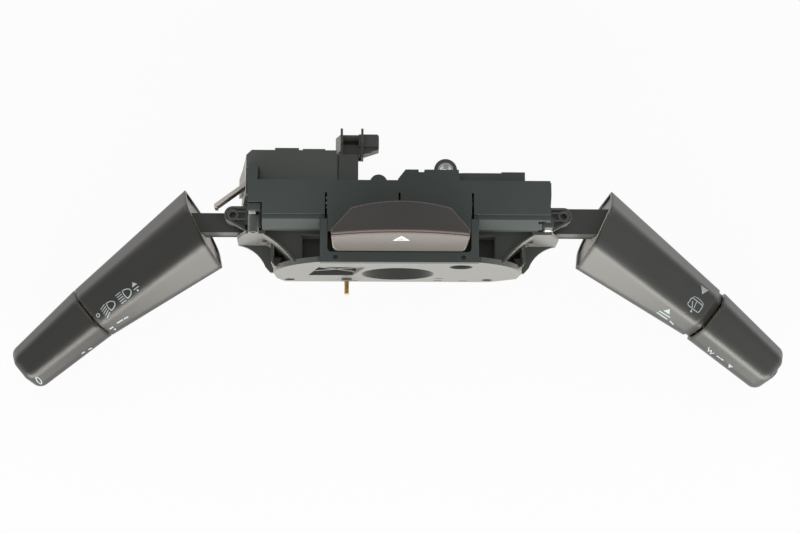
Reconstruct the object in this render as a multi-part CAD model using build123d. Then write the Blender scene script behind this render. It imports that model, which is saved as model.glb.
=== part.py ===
from build123d import *
import os
from math import cos, radians, sin, tan

# Combination stalk switch, in millimetres.
# Frame: +X to the driver's right, +Y forward along the steering column, +Z up.
# The origin lies on the column axis, in the plane of the face that looks at the driver.

# ---- fits -------------------------------------------------------------------------
RUNNING_FIT = 0.05
MOVING_GAP = 0.4
SEAT_GAP = 0.2

# ---- working lengths of cuts and joints: how far a cut runs past a surface, and a rib into its plate ----
CUT = 1.0
SINK = 0.5
TOUCH = 0.01
TINY = 1e-6
DEEP_SINK = 6.0
WELL_DEEP = 5.0

# ---- carrier: the moulding that sits round the steering column -----------------------
COLUMN_BORE = 35.0
BORE_WALL = 2.4
BORE_CHAMFER = 1.6
WALL = 2.4
FACE_PLATE = 2.6
FACE_STEP = 1.2
FACE_CLEAR = 20.0
FACE_TOP = 33.4
FACE_BOTTOM = -24.0
FACE_TOP_HALF = 38.0
FACE_SIDE_HALF = 59.7
FACE_SIDE_Z = 2.0
FACE_SHOULDER_HALF = 51.0
FACE_SHOULDER_Z = 22.6
FACE_FOOT_RIGHT = 46.0
FACE_FOOT_LEFT = 55.0
FACE_FOOT_Z = -14.0
TUB_TOP = 24.0
TUB_TOP_HALF = 72.0
TUB_BOTTOM_HALF = 77.4
TUB_FRONT = 14.5
TUB_OPEN_FOOT = -10.0
OPENING_OUT = 90.0
OPENING_IN = 64.0
OPENING_RISE = 4.0
TUB_BACK = 40.0

# ---- wings: the steps between the driver's face and the stalk roots ----------------
LEDGE_TOP = -4.4
LEDGE_PLATE = 2.4
LEDGE_OUT = 77.2
LEDGE_MID_X = 69.2
LEDGE_MID_Y = 11.0
LEDGE_CORNER_X = 63.9
LEDGE_CORNER_Y = 3.8
LEDGE_IN = 60.4
SKIRT_INSET = 6.0
FOOT_SETBACK = 4.0
FENCE_TOP = 26.0
FENCE_WALL = 1.3
FENCE_OUT = 63.6
FENCE_MID_X = 55.2
FENCE_MID_Y = 8.4
FENCE_IN = 48.4
SHOULDER_WALL = 1.7
SHOULDER_DRAFT = 0.6
SHOULDER_RISE = 4.0
SCREW_BOSS_SINK = 3.0
SHOULDER_TOP = 26.4
SHOULDER_IN = 59.0
SHOULDER_TOP_OUT = 71.4
SHOULDER_TOP_IN = 63.0
SHOULDER_CORNER_Z = 11.0
RIB_WALL = 1.2
RIB_FOOT_IN = 2.0
GUSSET_FOOT_IN = 3.0
RIB_X = 60.4
RIB_TOP = 14.0
RIB_BEND_Y = 3.6
GUSSET_Y = 5.8
GUSSET_WIDTH = 5.2
GUSSET_TOP = 11.0
STUD_RADIUS = 3.6
STUD_LENGTH = 1.6
STUD_DIMPLE = 1.3
STUD_X = 61.6
STUD_Z = 9.0

# ---- hazard well and decks beside it -----------------------------------------------
WELL_HALF = 36.7
WELL_WALL = 2.4
WELL_FRONT_OUT = 0.8
WELL_FLOOR = 22.6
WELL_FLOOR_PLATE = 1.6
POCKET_FLOOR = 13.0
POCKET_HALF = 45.6
DECK_PLATE = 1.8
FRAME_TOP = 34.0
FRAME_BOTTOM = 30.0
FRAME_BAR = 4.8
FRAME_CORNER = 2.0
FRAME_PIP = 1.1
FRAME_PIP_IN = 7.2
FRAME_PIP_DEPTH = 1.0
FRAME_SIDE = 3.4
FRAME_BACK = 20.4

# ---- openings in the driver's face ---------------------------------------------------
WINDOW_TOP_OUT = 37.6
WINDOW_TOP_IN = 15.6
WINDOW_TOP_Z = 19.0
WINDOW_FOOT_OUT = 43.2
WINDOW_FOOT_IN = 21.6
WINDOW_FOOT_Z = -4.6
WINDOW_RIB = 1.6
WINDOW_RIB_ANGLES = (38, -26)
WINDOW_RIB_LENGTH = 60.0
WINDOW_RIB_DEPTH = 0.6
WINDOW_RIB_PLACE = 0.7
FACE_HOLE = 11.0
FACE_HOLE_X = 29.3
FACE_HOLE_Z = 20.5
SCREW_HOLE = 5.3
SCREW_HOLE_X_RIGHT = 44.6
SCREW_HOLE_X_LEFT = -52.6
SCREW_HOLE_Z = -17.6
SLOT_SIZE = 4.0
SLOT_HALF_HIGH = 0.7
SLOT_PLACES = ((33.0, -20.5), (20.3, -20.0), (20.6, -13.6), (-21.3, -21.0))

# ---- top cover -------------------------------------------------------------------------
COVER_TOP = 34.0
COVER_WALL = 2.0
COVER_HALF = 70.3
COVER_LIP_FRONT = 20.3
COVER_LIP_BACK = 22.6
COVER_LIP_DROP = 0.7
COVER_SKIRT_FRONT = 16.2
COVER_SKIRT_DROP = 3.2
COVER_SKIRT_RUN_OUT = 0.8
COVER_BACK = 38.7
COVER_TAIL_BACK = 43.8
COVER_TAIL_LEFT = 2.8
COVER_TAIL_RAMP = 3.5
COVER_TAIL_RIGHT = 28.0
COVER_TAIL_DRAFT = 0.4
COVER_RAMP_STEP = 0.6
COVER_NOTCH_LEFT = 8.9
COVER_NOTCH = 2.7
COVER_NOTCH_DEPTH = 1.2
COVER_HORN_IN = 66.0
COVER_HORN_BACK = 46.1
RELIEF_SLOT = 1.0
RELIEF_DEPTH = 4.0
RELIEF_HALF = 34.6
RELIEF_BACK = 32.8
RELIEF_CENTRE_FRONT = 24.4
RELIEF_CENTRE_BACK = 32.7
CORNER_SLOT_X = 66.3
CORNER_SLOT = 3.4
CORNER_SLOT_DEPTH = 2.4
CORNER_SLOT_FAR = 1.6
CORNER_SLOT_NEAR = 0.6
COVER_STEP_X = -63.7
COVER_STEP_BACK = 28.2

# ---- rear details of the carrier ---------------------------------------------------------
LUG_X = 21.6
LUG_Y = 44.2
LUG_RADIUS = 5.4
LUG_TOP = 31.0
LUG_HEIGHT = 9.0
LUG_SCREW = 5.2
LUG_BUSH_WALL = 1.0
STRIP_LEFT = 29.5
STRIP_RIGHT = 59.0
STRIP_BACK = 43.4
STRIP_STEP_X = 48.0
STRIP_STEP = 0.5
STRIP_TOP = 29.0
BOX_GAP = 0.6
BOX_INSET = 0.3
BOX_RISE = 1.0
DOME_X = -9.6
DOME_Y = 37.4
DOME_RADIUS = 4.2

# ---- connector block and loom clip ---------------------------------------------------------
BLOCK_TOP = 25.0
BLOCK_BOTTOM = -16.0
BLOCK_FOOT_OUT = 1.6
BLOCK_BACK = 54.9
BLOCK_RIGHT = -29.4
BLOCK_TAB = 1.0
BLOCK_TABS = ((-58.4, -47.2, BLOCK_TAB), (-45.4, -34.8, BLOCK_TAB * 0.6))
BLOCK_CORNER_IN = 2.6
BLOCK_CORNER_OUT = 3.0
BLOCK_CORNER_BACK = 5.2
SOCKET_DEPTH = 11.0
SOCKET_HEIGHT = 15.0
SOCKET_ROOF = 1.0
SOCKET_TOP = 20.0
TERMINAL_WIDTH = 1.5
TERMINAL_THICK = 0.8
TERMINAL_LENGTH = 9.0
TERMINAL_PITCH = 3.6
TERMINALS_IN_ROW = 5
TERMINAL_ROW_RISE = 3.0
SOCKET_SIDE = 0.3
SOCKET_LEFT_X = -60.2
SOCKET_RIGHT_X = -40.8
CLIP_POST_RIGHT = -19.2
CLIP_POST_BACK = 52.9
CLIP_TOP = 25.0
CLIP_POST_FOOT = 7.0
CLIP_FOOT = 15.0
CLIP_RISE = 2.0
CLIP_FIN = 1.1
CLIP_FIN_LEFT = -27.6
CLIP_FIN_RIGHT = -17.9
CLIP_FIN_BACK = 65.0
CLIP_FIN_STEP = 58.4
CLIP_LEAN = 2.4
CLIP_BAR = 1.0
CLIP_BAR_BACK = 62.3
CLIP_SHELF = 2.0
CLIP_SHELF_DROP = 3.4
CLIP_GROOVE = 0.5
CLIP_BOX_LEFT = -19.0
CLIP_BOX_RIGHT = -9.5
CLIP_BOX_FRONT = 57.0
CLIP_BOX_BACK = 62.7
CLIP_BOX_HEIGHT = 9.0
CLIP_BOX_WALL = 1.2
CLIP_BOX_CHIN = 4.4
CLIP_BOX_HOLE = 1.5

# ---- hazard button ---------------------------------------------------------------------------
BUTTON_TOP = 62.0
BUTTON_BOTTOM = 28.0
BUTTON_FRONT = 5.3
BUTTON_FRONT_HALF = 30.6
BUTTON_WAIST_HALF = 31.4
BUTTON_WAIST = 11.0
BUTTON_BACK_HALF = 22.6
BUTTON_BACK_END = 20.8
BUTTON_BACK = 23.4
BUTTON_CROWN = 105.0
BUTTON_LEAN = 8.0
BUTTON_CAP = 1.8
BUTTON_CAP_INSET = 0.35
BUTTON_CAP_ROUND = 0.7
BUTTON_CORNER = 3.0
BUTTON_LENS = 1.4
BUTTON_SHELL = 2.2
BUTTON_GAP = 0.6
PANEL_FRONT = 14.5
GUIDE_X = 22.0
GUIDE_Y = 12.0
GUIDE_RADIUS = 2.2
GUIDE_WALL = 1.6
GUIDE_PAST = 3.0
GUIDE_FOOT = 12.0
GUIDE_COLLAR_Z = 32.0
GUIDE_COLLAR = 3.6
GUIDE_COLLAR_THICK = 1.4
SPRING_WIRE = 0.4
SPRING_RADIUS = 2.9
SPRING_TURNS = 4

# ---- horn contact and turn-signal cancelling pawl --------------------------------------------
HORN_X = -24.6
HORN_Z = -14.8
HORN_PIN_RADIUS = 1.15
NOSE_SHARE = 0.6
HORN_PIN_OUT = 8.1
HORN_PIN_FLANGE = 1.8
HORN_PIN_TAIL = 7.0
HORN_SLEEVE_RADIUS = 2.6
HORN_SLEEVE_OUT = 1.2
HORN_SLEEVE_BACK = 20.0
HORN_SLEEVE_LIP = 1.2
HORN_SEAT = 1.4
HORN_FLANGE_BACK = 3.2
HORN_BOSS_WALL = 1.6
HORN_BOSS_OUT = 1.5
HORN_SPRING_RADIUS = 1.2
HORN_SPRING_WIRE = 0.25
HORN_SPRING_TURNS = 6
PAWL_X = -30.0
PAWL_Z = 7.6
PAWL_LENGTH = 13.2
PAWL_FRONT = 4.0
PAWL_BACK = 9.0
PAWL_PIN_RADIUS = 1.5
PAWL_PIN_OUT = 0.6
PAWL_PIN_DEPTH = 4.0
PAWL_HUB = 3.4
PAWL_ROOT = 3.0
PAWL_SHOULDER = 4.0
PAWL_SHOULDER_HALF = 2.2
PAWL_TIP = 1.5
PAWL_TIP_HALF = 1.6
PAWL_ROOM_HALF = 6.0
PAWL_ROOM_IN = 4.0

# ---- stalk roots: yoke, axle, pivot pin and lever arm (left side, mirrored for the right) ----
HUB_X = -58.0
HUB_Z = 5.0
HUB_RADIUS = 5.6
HUB_FRONT = 20.2
HUB_BACK = 31.6
AXLE_RADIUS = 2.5
CASE_FRONT = 17.2
CASE_BACK = 36.4
CASE_WALL = 2.5
CASE_OUT = -68.4
CASE_CORE = -41.0
CASE_IN = -26.0
CASE_TOP = 22.0
CASE_BOTTOM = -20.0
CASE_FLOOR = -13.0
CASE_CORE_WALL = 1.2
CASE_BACK_STEP = 1.0
PIVOT_X = -78.2
PIVOT_Y = 24.8
PIN_RADIUS = 1.6
EAR_NOSE = 4.0
EAR_TOP = 20.0
EAR_BOTTOM = -8.0
EAR_PLATE = 3.6
EAR_ROOT_X = -72.2
EAR_ROOT_FRONT = 17.2
EAR_ROOT_BACK = 28.8
EAR_RIM = 0.9
EAR_RECESS = 1.2
PIN_SINK = 3.6
YOKE_BACK_X = -66.2
YOKE_IN_X = -61.0
ARM_FRONT = 17.6
ARM_BACK_LEFT = 26.9
ARM_BACK_RIGHT = 29.8
ARM_TOP = 12.5
ARM_BOTTOM = 3.0
ARM_BOSS = 3.9
ARM_INNER_X = -70.6
ARM_REACH = 10.0
ARM_FLANGE = 1.4
ARM_FLANGE_OUT = 0.3
ARM_FLANGE_START = 2.0
ARM_FLANGE_REACH = 4.0
SHAFT_BORE_PAST = 4.0
BEAM_START = 4.5
BEAM_WIDTH = 12.0
BEAM_HEIGHT = 9.0
DETENT_RADIUS = 14.4
DETENT_PLUNGER = 2.0
DETENT_PLUNGER_START = 8.4
DETENT_PLUNGER_NOSE = 0.3
PLUNGER_NOSE_SHARE = 0.7
DETENT_TRACK_START = 8.0
DETENT_TRACK_HALF = 7.0
DETENT_TRACK_INSET = 2.0
DETENT_SOCKET_START = 4.5
DETENT_SOCKET_DEPTH = 8.0
DETENT_SPRING_LENGTH = 3.9
DETENT_SPRING_RADIUS = 1.3
DETENT_SPRING_WIRE = 0.3
DETENT_SPRING_TURNS = 3
YOKE_LINK_HALF = 4.0
YOKE_HORN_HALF = 3.0
YOKE_HORN_END = 4.0
EAR_FRONT_SLANT = 1.6
EAR_FLANK_ANGLE = 218.0
EAR_RING = 1.35
EAR_RIB_HALF = 0.35
EAR_RIB_BACK = 1.6
EAR_RIB_FRONT = 2.0

# ---- stalk casings and knobs ------------------------------------------------------------------
# A section across a stalk is a rounded hexagon, widest at its axis: "rear" faces forward,
# "front" the driver. HALF is its half width, FLAT the reach of its flat top or bottom.
STALK_DROOP = 9.0
SWEEP_LEFT = 36.1
SWEEP_RIGHT = 35.4
MOUTH_OUT_LEFT = 92.9
MOUTH_OUT_RIGHT = 94.3
MOUTH_Y_LEFT = 20.1
MOUTH_Y_RIGHT = 20.5
MOUTH_Z = 6.0
MOUTH_SKEW = 10.3
MOUTH_HALF = 21.2
MOUTH_FLAT_REAR = 10.5
MOUTH_FLAT_FRONT = 7.5
MOUTH_FLAT_LOW = 10.5
MOUTH_TOP = 15.0
MOUTH_BOTTOM = 14.0
MOUTH_EDGE_RADIUS = 2.6
MOUTH_TOP_RADIUS = 8.0
JOINT_HALF = 16.0
JOINT_FLAT_REAR = 7.0
JOINT_FLAT_FRONT = 8.0
JOINT_FLAT_LOW = 6.0
JOINT_TOP = 11.6
JOINT_BOTTOM = 10.6
JOINT_EDGE_RADIUS = 6.0
JOINT_TOP_RADIUS = 6.0
TIP_HALF = 12.9
TIP_FLAT_REAR = 5.5
TIP_FLAT_FRONT = 5.5
TIP_FLAT_LOW = 5.0
TIP_TOP = 9.4
TIP_BOTTOM = 8.6
TIP_EDGE_RADIUS = 5.0
TIP_TOP_RADIUS = 5.0
TIP_ROUND = 5.0
CASING_LENGTH = 66.0
CASING_WALL = 1.8
CASING_RIM = 1.0
CASING_LEAD = 12.0
CASING_PAST = 6.0
CASING_NECK_INSET = 1.2
HALF_SPACE = 160.0
HALF_SPACE_DEPTH = 140.0
BULKHEAD_BORE = 20.0
PLATE_SLOT_DEPTH = 30.0
END_PLATE = 1.4
BULKHEAD = 3.0
KNOB_BEND = 4.1
KNOB_LENGTH_LEFT = 44.6
KNOB_LENGTH_RIGHT = 45.8
KNOB_NECK_RIGHT = 2.6
KNOB_GROWTH_RIGHT = 0.6
KNOB_TIP_WALL = 9.0
KNOB_WALL = 2.0
KNOB_GAP = 0.9
SHAFT_RADIUS = 3.5
SHAFT_TAIL = 20.0
SHAFT_NOSE = 28.0
KNOB_BOSS = 6.0
KNOB_BOSS_START = 6.0
KNOB_BOSS_END = 5.0
DISC_RADIUS = 8.0
DISC_THICK = 1.6
END_BUTTON_RADIUS = 3.8
END_BUTTON_OUT = 1.5
END_BUTTON_LENGTH = 9.0
END_COLLAR = 0.8
END_COLLAR_THICK = 1.2
END_BUTTON_ROUND = 0.8
END_SPRING = 2.2
END_SPRING_WIRE = 0.25
END_SPRING_TURNS = 2

# ---- small hardware --------------------------------------------------------------------------------
HEAD_X_LEFT = -67.9
HEAD_X_RIGHT = 69.4
HEAD_Z = 28.9
HEAD_RADIUS = 2.4
HEAD_THICK = 1.8
HEAD_LEFT_Y = 22.6
HEAD_RIGHT_Y = 15.4
SHANK_RADIUS = 1.2
SHANK_LENGTH = 3.2
TOWER_HALF = 2.5
TOWER_TOP_LEFT = 33.0
TOWER_TOP_RIGHT = 31.6
TOWER_BACK_LEFT = 27.7
TOWER_BACK_RIGHT = 21.8
TOWER_GROWTH_LEFT = 1.0
TOWER_NECK_LEFT = 1.0
TOWER_NECK_RIGHT = 1.6
BOARD_THICK = 1.6
BOARD_Z = 27.0
BOARD_FRONT = 26.4
BOARD_BACK = 36.0
BOARD_HALF = 62.0
BOARD_POST_X = 38.5
BOARD_POST = 1.6

# ---- ribbon cable of the left stalk ---------------------------------------------------------------
RIBBON_THICK = 1.5
RIBBON_HEIGHT = 8.0
RIBBON_TOP = 22.0
RIBBON_ROOT_X = -71.8
RIBBON_ROOT_Y = 40.6
RIBBON_SLOT = 0.1
RIBBON_BEND_X = -86.8
RIBBON_BEND_Y = 29.4
RIBBON_TAIL = 1.6


class Side:
    """The measures in which the left and the right stalk differ."""

    def __init__(self, name, mouth_out, mouth_y, sweep, neck, knob_growth, knob_length, arm_back):
        self.name = name
        self.is_right = name == "right"
        self.mouth_out = mouth_out
        self.mouth_y = mouth_y
        self.sweep = sweep
        self.neck = neck
        self.knob_growth = knob_growth
        self.knob_length = knob_length
        self.arm_back = arm_back


LEFT = Side(
    "left", MOUTH_OUT_LEFT, MOUTH_Y_LEFT, SWEEP_LEFT,
    0.0, 0.0, KNOB_LENGTH_LEFT, ARM_BACK_LEFT)
RIGHT = Side(
    "right", MOUTH_OUT_RIGHT, MOUTH_Y_RIGHT, SWEEP_RIGHT,
    KNOB_NECK_RIGHT, KNOB_GROWTH_RIGHT, KNOB_LENGTH_RIGHT, ARM_BACK_RIGHT)


# ---- helpers ------------------------------------------------------------------------------------
def block(x0, x1, y0, y1, z0, z1):
    """Box between two opposite corners."""
    size = Box(abs(x1 - x0), abs(y1 - y0), abs(z1 - z0))
    return Pos((x0 + x1) / 2, (y0 + y1) / 2, (z0 + z1) / 2) * size


def rod(start, direction, length, radius):
    """Cylinder from a start point along a direction."""
    plane = Plane(origin=start, z_dir=direction)
    return extrude(plane * Circle(radius), length)


def rod_y(x, z, y0, y1, radius):
    return rod((x, y0, z), (0, 1, 0), y1 - y0, radius)


def rod_z(x, y, z0, z1, radius):
    return rod((x, y, z0), (0, 0, 1), z1 - z0, radius)


def front_outline(wire, y0, y1):
    """Solid whose outline is drawn in X and Z, between two values of Y."""
    plane = Plane(origin=(0, y1, 0), x_dir=(1, 0, 0), z_dir=(0, -CUT, 0))
    return extrude(plane * make_face(wire), y1 - y0)


def plan_outline(wire, z0, z1):
    """Solid whose outline is drawn in X and Y, between two values of Z."""
    return extrude(Pos(0, 0, z0) * make_face(wire), z1 - z0)


def mirrored(shape):
    return mirror(shape, about=Plane.YZ)


def on_side(shape, side):
    """A piece drawn for the left, put on its own side."""
    return mirrored(shape) if side.is_right else shape


def coil(start, direction, length, radius, wire, turns):
    """Wound spring between two seats, with a square wire."""
    height = length - 2 * wire
    path = Pos(0, 0, wire) * Helix(pitch=height / turns, height=height, radius=radius)
    section = Plane(origin=path @ 0, z_dir=path % 0) * RegularPolygon(wire, 4)
    return Plane(origin=start, z_dir=direction) * sweep(section, path=path, is_frenet=True)


# ---- carrier ----------------------------------------------------------------------------------------
def tub_half_width(z):
    """Half width of the carrier at a height: its side walls lean outwards to the foot."""
    share = (TUB_TOP - z) / (TUB_TOP - FACE_BOTTOM)
    return TUB_TOP_HALF + (TUB_BOTTOM_HALF - TUB_TOP_HALF) * share


def tub_block(inset, z0, z1, y0, y1):
    """Block with the leaning side walls of the carrier, inset from them."""
    low = tub_half_width(z0) - inset
    high = tub_half_width(z1) - inset
    wire = Polyline((-low, z0), (low, z0), (high, z1), (-high, z1), close=True)
    return front_outline(wire, y0, y1)


def foot_corner(margin):
    """Right low front corner that the tub leaves out beside the skirt, grown by a margin."""
    return block(
        LEDGE_OUT - SKIRT_INSET - margin, TUB_BOTTOM_HALF + CUT,
        TUB_FRONT - CUT, TUB_FRONT + FOOT_SETBACK + margin,
        FACE_BOTTOM - CUT, LEDGE_TOP - LEDGE_PLATE + margin)


def tub_shell():
    """Open-topped box between the driver's face and the back, with hollow walls."""
    inner = tub_block(WALL, FACE_BOTTOM + WALL, TUB_TOP + CUT, TUB_FRONT + WALL, TUB_BACK - WALL)
    inner = inner - foot_corner(WALL) - mirrored(foot_corner(WALL))
    tub = tub_block(0, FACE_BOTTOM, TUB_TOP, TUB_FRONT, TUB_BACK) - inner
    return tub - foot_corner(0) - mirrored(foot_corner(0))


def face_outline(y0, y1):
    """The driver's face: flat top, rounded shoulders and a chamfered foot."""
    side = (FACE_SIDE_HALF, FACE_SIDE_Z)
    shoulder = (FACE_SHOULDER_HALF, FACE_SHOULDER_Z)
    wire = [
        Line((-FACE_TOP_HALF, FACE_TOP), (FACE_TOP_HALF, FACE_TOP)),
        ThreePointArc((FACE_TOP_HALF, FACE_TOP), shoulder, side),
        Line(side, (FACE_SIDE_HALF - CUT, FACE_FOOT_Z)),
        Line((FACE_SIDE_HALF - CUT, FACE_FOOT_Z), (FACE_FOOT_RIGHT, FACE_BOTTOM)),
        Line((FACE_FOOT_RIGHT, FACE_BOTTOM), (-FACE_FOOT_LEFT, FACE_BOTTOM)),
        Line((-FACE_FOOT_LEFT, FACE_BOTTOM), (1 - FACE_SIDE_HALF, FACE_FOOT_Z)),
        Line((1 - FACE_SIDE_HALF, FACE_FOOT_Z), (-side[0], side[1])),
        ThreePointArc((-side[0], side[1]), (-shoulder[0], shoulder[1]), (-FACE_TOP_HALF, FACE_TOP)),
    ]
    return front_outline(Wire(wire), y0, y1)


def ledge_edge(inset):
    """Concave edge of a wing, from the stalk root to its corner, then on to the face."""
    start = (LEDGE_OUT - inset, TUB_FRONT)
    middle = (LEDGE_MID_X - inset, LEDGE_MID_Y)
    corner = (LEDGE_CORNER_X - inset, LEDGE_CORNER_Y)
    end = (LEDGE_IN - inset, 0)
    return [ThreePointArc(start, middle, corner), Line(corner, end)]


def ledge(inset, z0, z1):
    """Lower wing body on both sides, from the face back to the tub."""
    edge = ledge_edge(inset)
    start, end = edge[0] @ 0, edge[1] @ 1
    back = TUB_FRONT + WALL
    right = Wire(edge + [
        Line(end, (0, 0)),
        Line((0, 0), (0, back)),
        Line((0, back), (start.X, back)),
        Line((start.X, back), start),
    ])
    half = plan_outline(right, z0, z1)
    return half + mirrored(half)


def wing_shelf():
    """Thin plate of both wings, and the skirt that runs down some way inside its edge."""
    plate = ledge(0, LEDGE_TOP - LEDGE_PLATE, LEDGE_TOP)
    skirt = ledge(SKIRT_INSET, FACE_BOTTOM, LEDGE_TOP)
    return plate + skirt - ledge(SKIRT_INSET + WALL, FACE_BOTTOM - CUT, LEDGE_TOP - LEDGE_PLATE)


def fence_arc(inset):
    start = (FENCE_OUT - inset, TUB_FRONT)
    middle = (FENCE_MID_X - inset, FENCE_MID_Y)
    end = (FENCE_IN - inset, 0)
    return ThreePointArc(start, middle, end)


def fence_area(inset, z0, z1):
    """Area between the centre plane and the upright fence of a wing."""
    arc = fence_arc(inset)
    start, end = arc @ 0, arc @ 1
    wire = Wire([arc, Line(end, (0, 0)), Line((0, 0), (0, start.Y)), Line((0, start.Y), start)])
    return plan_outline(wire, z0, z1)


def wing():
    """Right wing above its ledge: fence, deck, pocket, rib, shoulder wall and stud."""
    fence = fence_area(0, LEDGE_TOP - CUT, FENCE_TOP) - fence_area(FENCE_WALL, LEDGE_TOP - 2, FENCE_TOP + CUT)
    deck = fence_area(FENCE_WALL / 2, TUB_TOP - DECK_PLATE, TUB_TOP)
    deck = deck & block(POCKET_HALF, FENCE_OUT, 0, TUB_FRONT + CUT, 0, FENCE_TOP)
    pocket_wall = block(POCKET_HALF, POCKET_HALF + WALL / 2, SINK, TUB_FRONT + CUT, LEDGE_TOP - CUT, TUB_TOP)
    floor = block(
        WELL_HALF - CUT, POCKET_HALF + CUT, SINK, TUB_FRONT + WALL,
        POCKET_FLOOR - DECK_PLATE, POCKET_FLOOR)
    pocket_back = block(
        WELL_HALF - CUT, POCKET_HALF + CUT, TUB_FRONT, TUB_FRONT + SHOULDER_WALL,
        POCKET_FLOOR - DECK_PLATE, TUB_TOP)
    rib_plan = Polyline(
        (RIB_X, TUB_FRONT + CUT),
        (RIB_X, RIB_BEND_Y),
        (RIB_X - RIB_FOOT_IN, CUT),
        (RIB_X - RIB_FOOT_IN - RIB_WALL, CUT),
        (RIB_X - RIB_WALL, RIB_BEND_Y),
        (RIB_X - RIB_WALL, TUB_FRONT + CUT),
        close=True,
    )
    rib = plan_outline(rib_plan, LEDGE_TOP - CUT, RIB_TOP)
    gusset_plan = Polyline(
        (RIB_X, GUSSET_Y), (RIB_X - GUSSET_WIDTH, GUSSET_Y), (RIB_X - GUSSET_FOOT_IN, CUT), close=True)
    gusset = plan_outline(gusset_plan, LEDGE_TOP - CUT, GUSSET_TOP)
    shoulder_wire = Polyline(
        (SHOULDER_IN, LEDGE_TOP - CUT),
        (LEDGE_OUT, LEDGE_TOP - CUT),
        (LEDGE_OUT - SHOULDER_DRAFT, SHOULDER_CORNER_Z),
        (SHOULDER_TOP_OUT, SHOULDER_TOP),
        (SHOULDER_TOP_IN, SHOULDER_TOP),
        (SHOULDER_IN, SHOULDER_CORNER_Z + SHOULDER_RISE),
        close=True,
    )
    shoulder = front_outline(shoulder_wire, TUB_FRONT, TUB_FRONT + SHOULDER_WALL)
    stud = rod_y(STUD_X, STUD_Z, TUB_FRONT - STUD_LENGTH, TUB_FRONT + CUT, STUD_RADIUS)
    stud_end = TUB_FRONT - STUD_LENGTH
    stud = stud - rod_y(STUD_X, STUD_Z, stud_end - CUT, TUB_FRONT - STUD_LENGTH / 2, STUD_DIMPLE)
    return fence + deck + pocket_wall + pocket_back + floor + rib + gusset + shoulder + stud


def hazard_well():
    """Walls and floor round the hazard button, with sleeves for its guide rods."""
    outer = block(-WELL_HALF, WELL_HALF, 0, FRAME_BACK, WELL_FLOOR - WELL_FLOOR_PLATE, FRAME_BOTTOM)
    inner_half = WELL_HALF - WELL_WALL
    inner = block(
        -inner_half, inner_half, FRAME_BAR - WELL_FRONT_OUT, FRAME_BACK + CUT,
        WELL_FLOOR, FRAME_BOTTOM + CUT)
    well = outer - inner
    legs = block(-WELL_HALF, -WELL_HALF + WELL_WALL, SINK, TUB_FRONT + CUT, LEDGE_TOP, WELL_FLOOR)
    well = well + legs + mirrored(legs)
    for x in (-GUIDE_X, GUIDE_X):
        well = well + rod_z(x, GUIDE_Y, GUIDE_FOOT, WELL_FLOOR, GUIDE_RADIUS + GUIDE_WALL)
    return well


def guide_bores():
    bores = []
    for x in (-GUIDE_X, GUIDE_X):
        bores.append(rod_z(x, GUIDE_Y, GUIDE_FOOT - CUT, WELL_FLOOR + CUT, GUIDE_RADIUS + RUNNING_FIT))
    return bores


def window():
    """Slanted four-sided opening beside the bore, with a crossed rib left standing in it."""
    wire = Polyline(
        (-WINDOW_TOP_OUT, WINDOW_TOP_Z),
        (-WINDOW_TOP_IN, WINDOW_TOP_Z),
        (-WINDOW_FOOT_IN, WINDOW_FOOT_Z),
        (-WINDOW_FOOT_OUT, WINDOW_FOOT_Z),
        close=True,
    )
    hole = front_outline(wire, -CUT, FACE_PLATE + CUT)
    centre_x = -(WINDOW_TOP_OUT + WINDOW_TOP_IN + WINDOW_FOOT_IN + WINDOW_FOOT_OUT) / 4
    centre_z = (WINDOW_TOP_Z + WINDOW_FOOT_Z) / 2
    for angle in WINDOW_RIB_ANGLES:
        rib = Rot(0, angle, 0) * Box(WINDOW_RIB_LENGTH, FACE_PLATE * WINDOW_RIB_DEPTH, WINDOW_RIB)
        hole = hole - Pos(centre_x, FACE_PLATE * WINDOW_RIB_PLACE, centre_z) * rib
    return hole


def base_frame():
    """Carrier moulding: driver's face, column tube, wings, hazard well, tub and rear lug."""
    bore_radius = COLUMN_BORE / 2
    tub = tub_shell()
    tub = tub - block(
        -POCKET_HALF, POCKET_HALF, TUB_FRONT - CUT, TUB_FRONT + WALL, TUB_OPEN_FOOT, TUB_TOP + CUT)
    tub = tub - block(
        -SHOULDER_IN, SHOULDER_IN, TUB_FRONT - CUT, TUB_FRONT + WALL,
        LEDGE_TOP, TUB_TOP - DECK_PLATE)
    tube = rod_y(0, 0, 0, TUB_BACK, bore_radius + BORE_WALL)
    right_wing = wing()
    body = face_outline(0, FACE_PLATE) + tub + wing_shelf() + tube + right_wing + mirrored(right_wing)
    body = body + hazard_well() + rear_details() + horn_boss()
    body = body - face_outline_surplus() - frame_seat() - ribbon_band(RIBBON_SLOT)
    cuts = [rod_y(0, 0, -CUT, TUB_BACK + CUT, bore_radius), window(), pawl_room()]
    cuts += guide_bores()
    cuts += face_holes()
    cuts += [stalk_opening(), mirrored(stalk_opening())]
    cuts.append(rod_y(HORN_X, HORN_Z, -CUT, HORN_SLEEVE_BACK + 2 * HORN_BOSS_OUT, HORN_SLEEVE_RADIUS))
    cuts.append(rod_z(LUG_X, LUG_Y, 0, LUG_TOP + CUT, LUG_SCREW / 2 + LUG_BUSH_WALL))
    for cut in cuts:
        body = body - cut
    body = body + screw_boss()
    lead_in = Cone(bore_radius, bore_radius + BORE_CHAMFER, BORE_CHAMFER)
    lead_in = Pos(0, TUB_BACK - BORE_CHAMFER / 2, 0) * Rot(-90, 0, 0) * lead_in
    return body - lead_in


def face_outline_surplus():
    """What the wings would leave outside the outline of the driver's face at its own plane."""
    slab = block(
        -LEDGE_OUT - WELL_DEEP, LEDGE_OUT + WELL_DEEP, -CUT, FACE_STEP,
        FACE_BOTTOM - CUT, FACE_TOP + FACE_CLEAR)
    return slab - face_outline(-2 * CUT, 2 * CUT)


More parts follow.
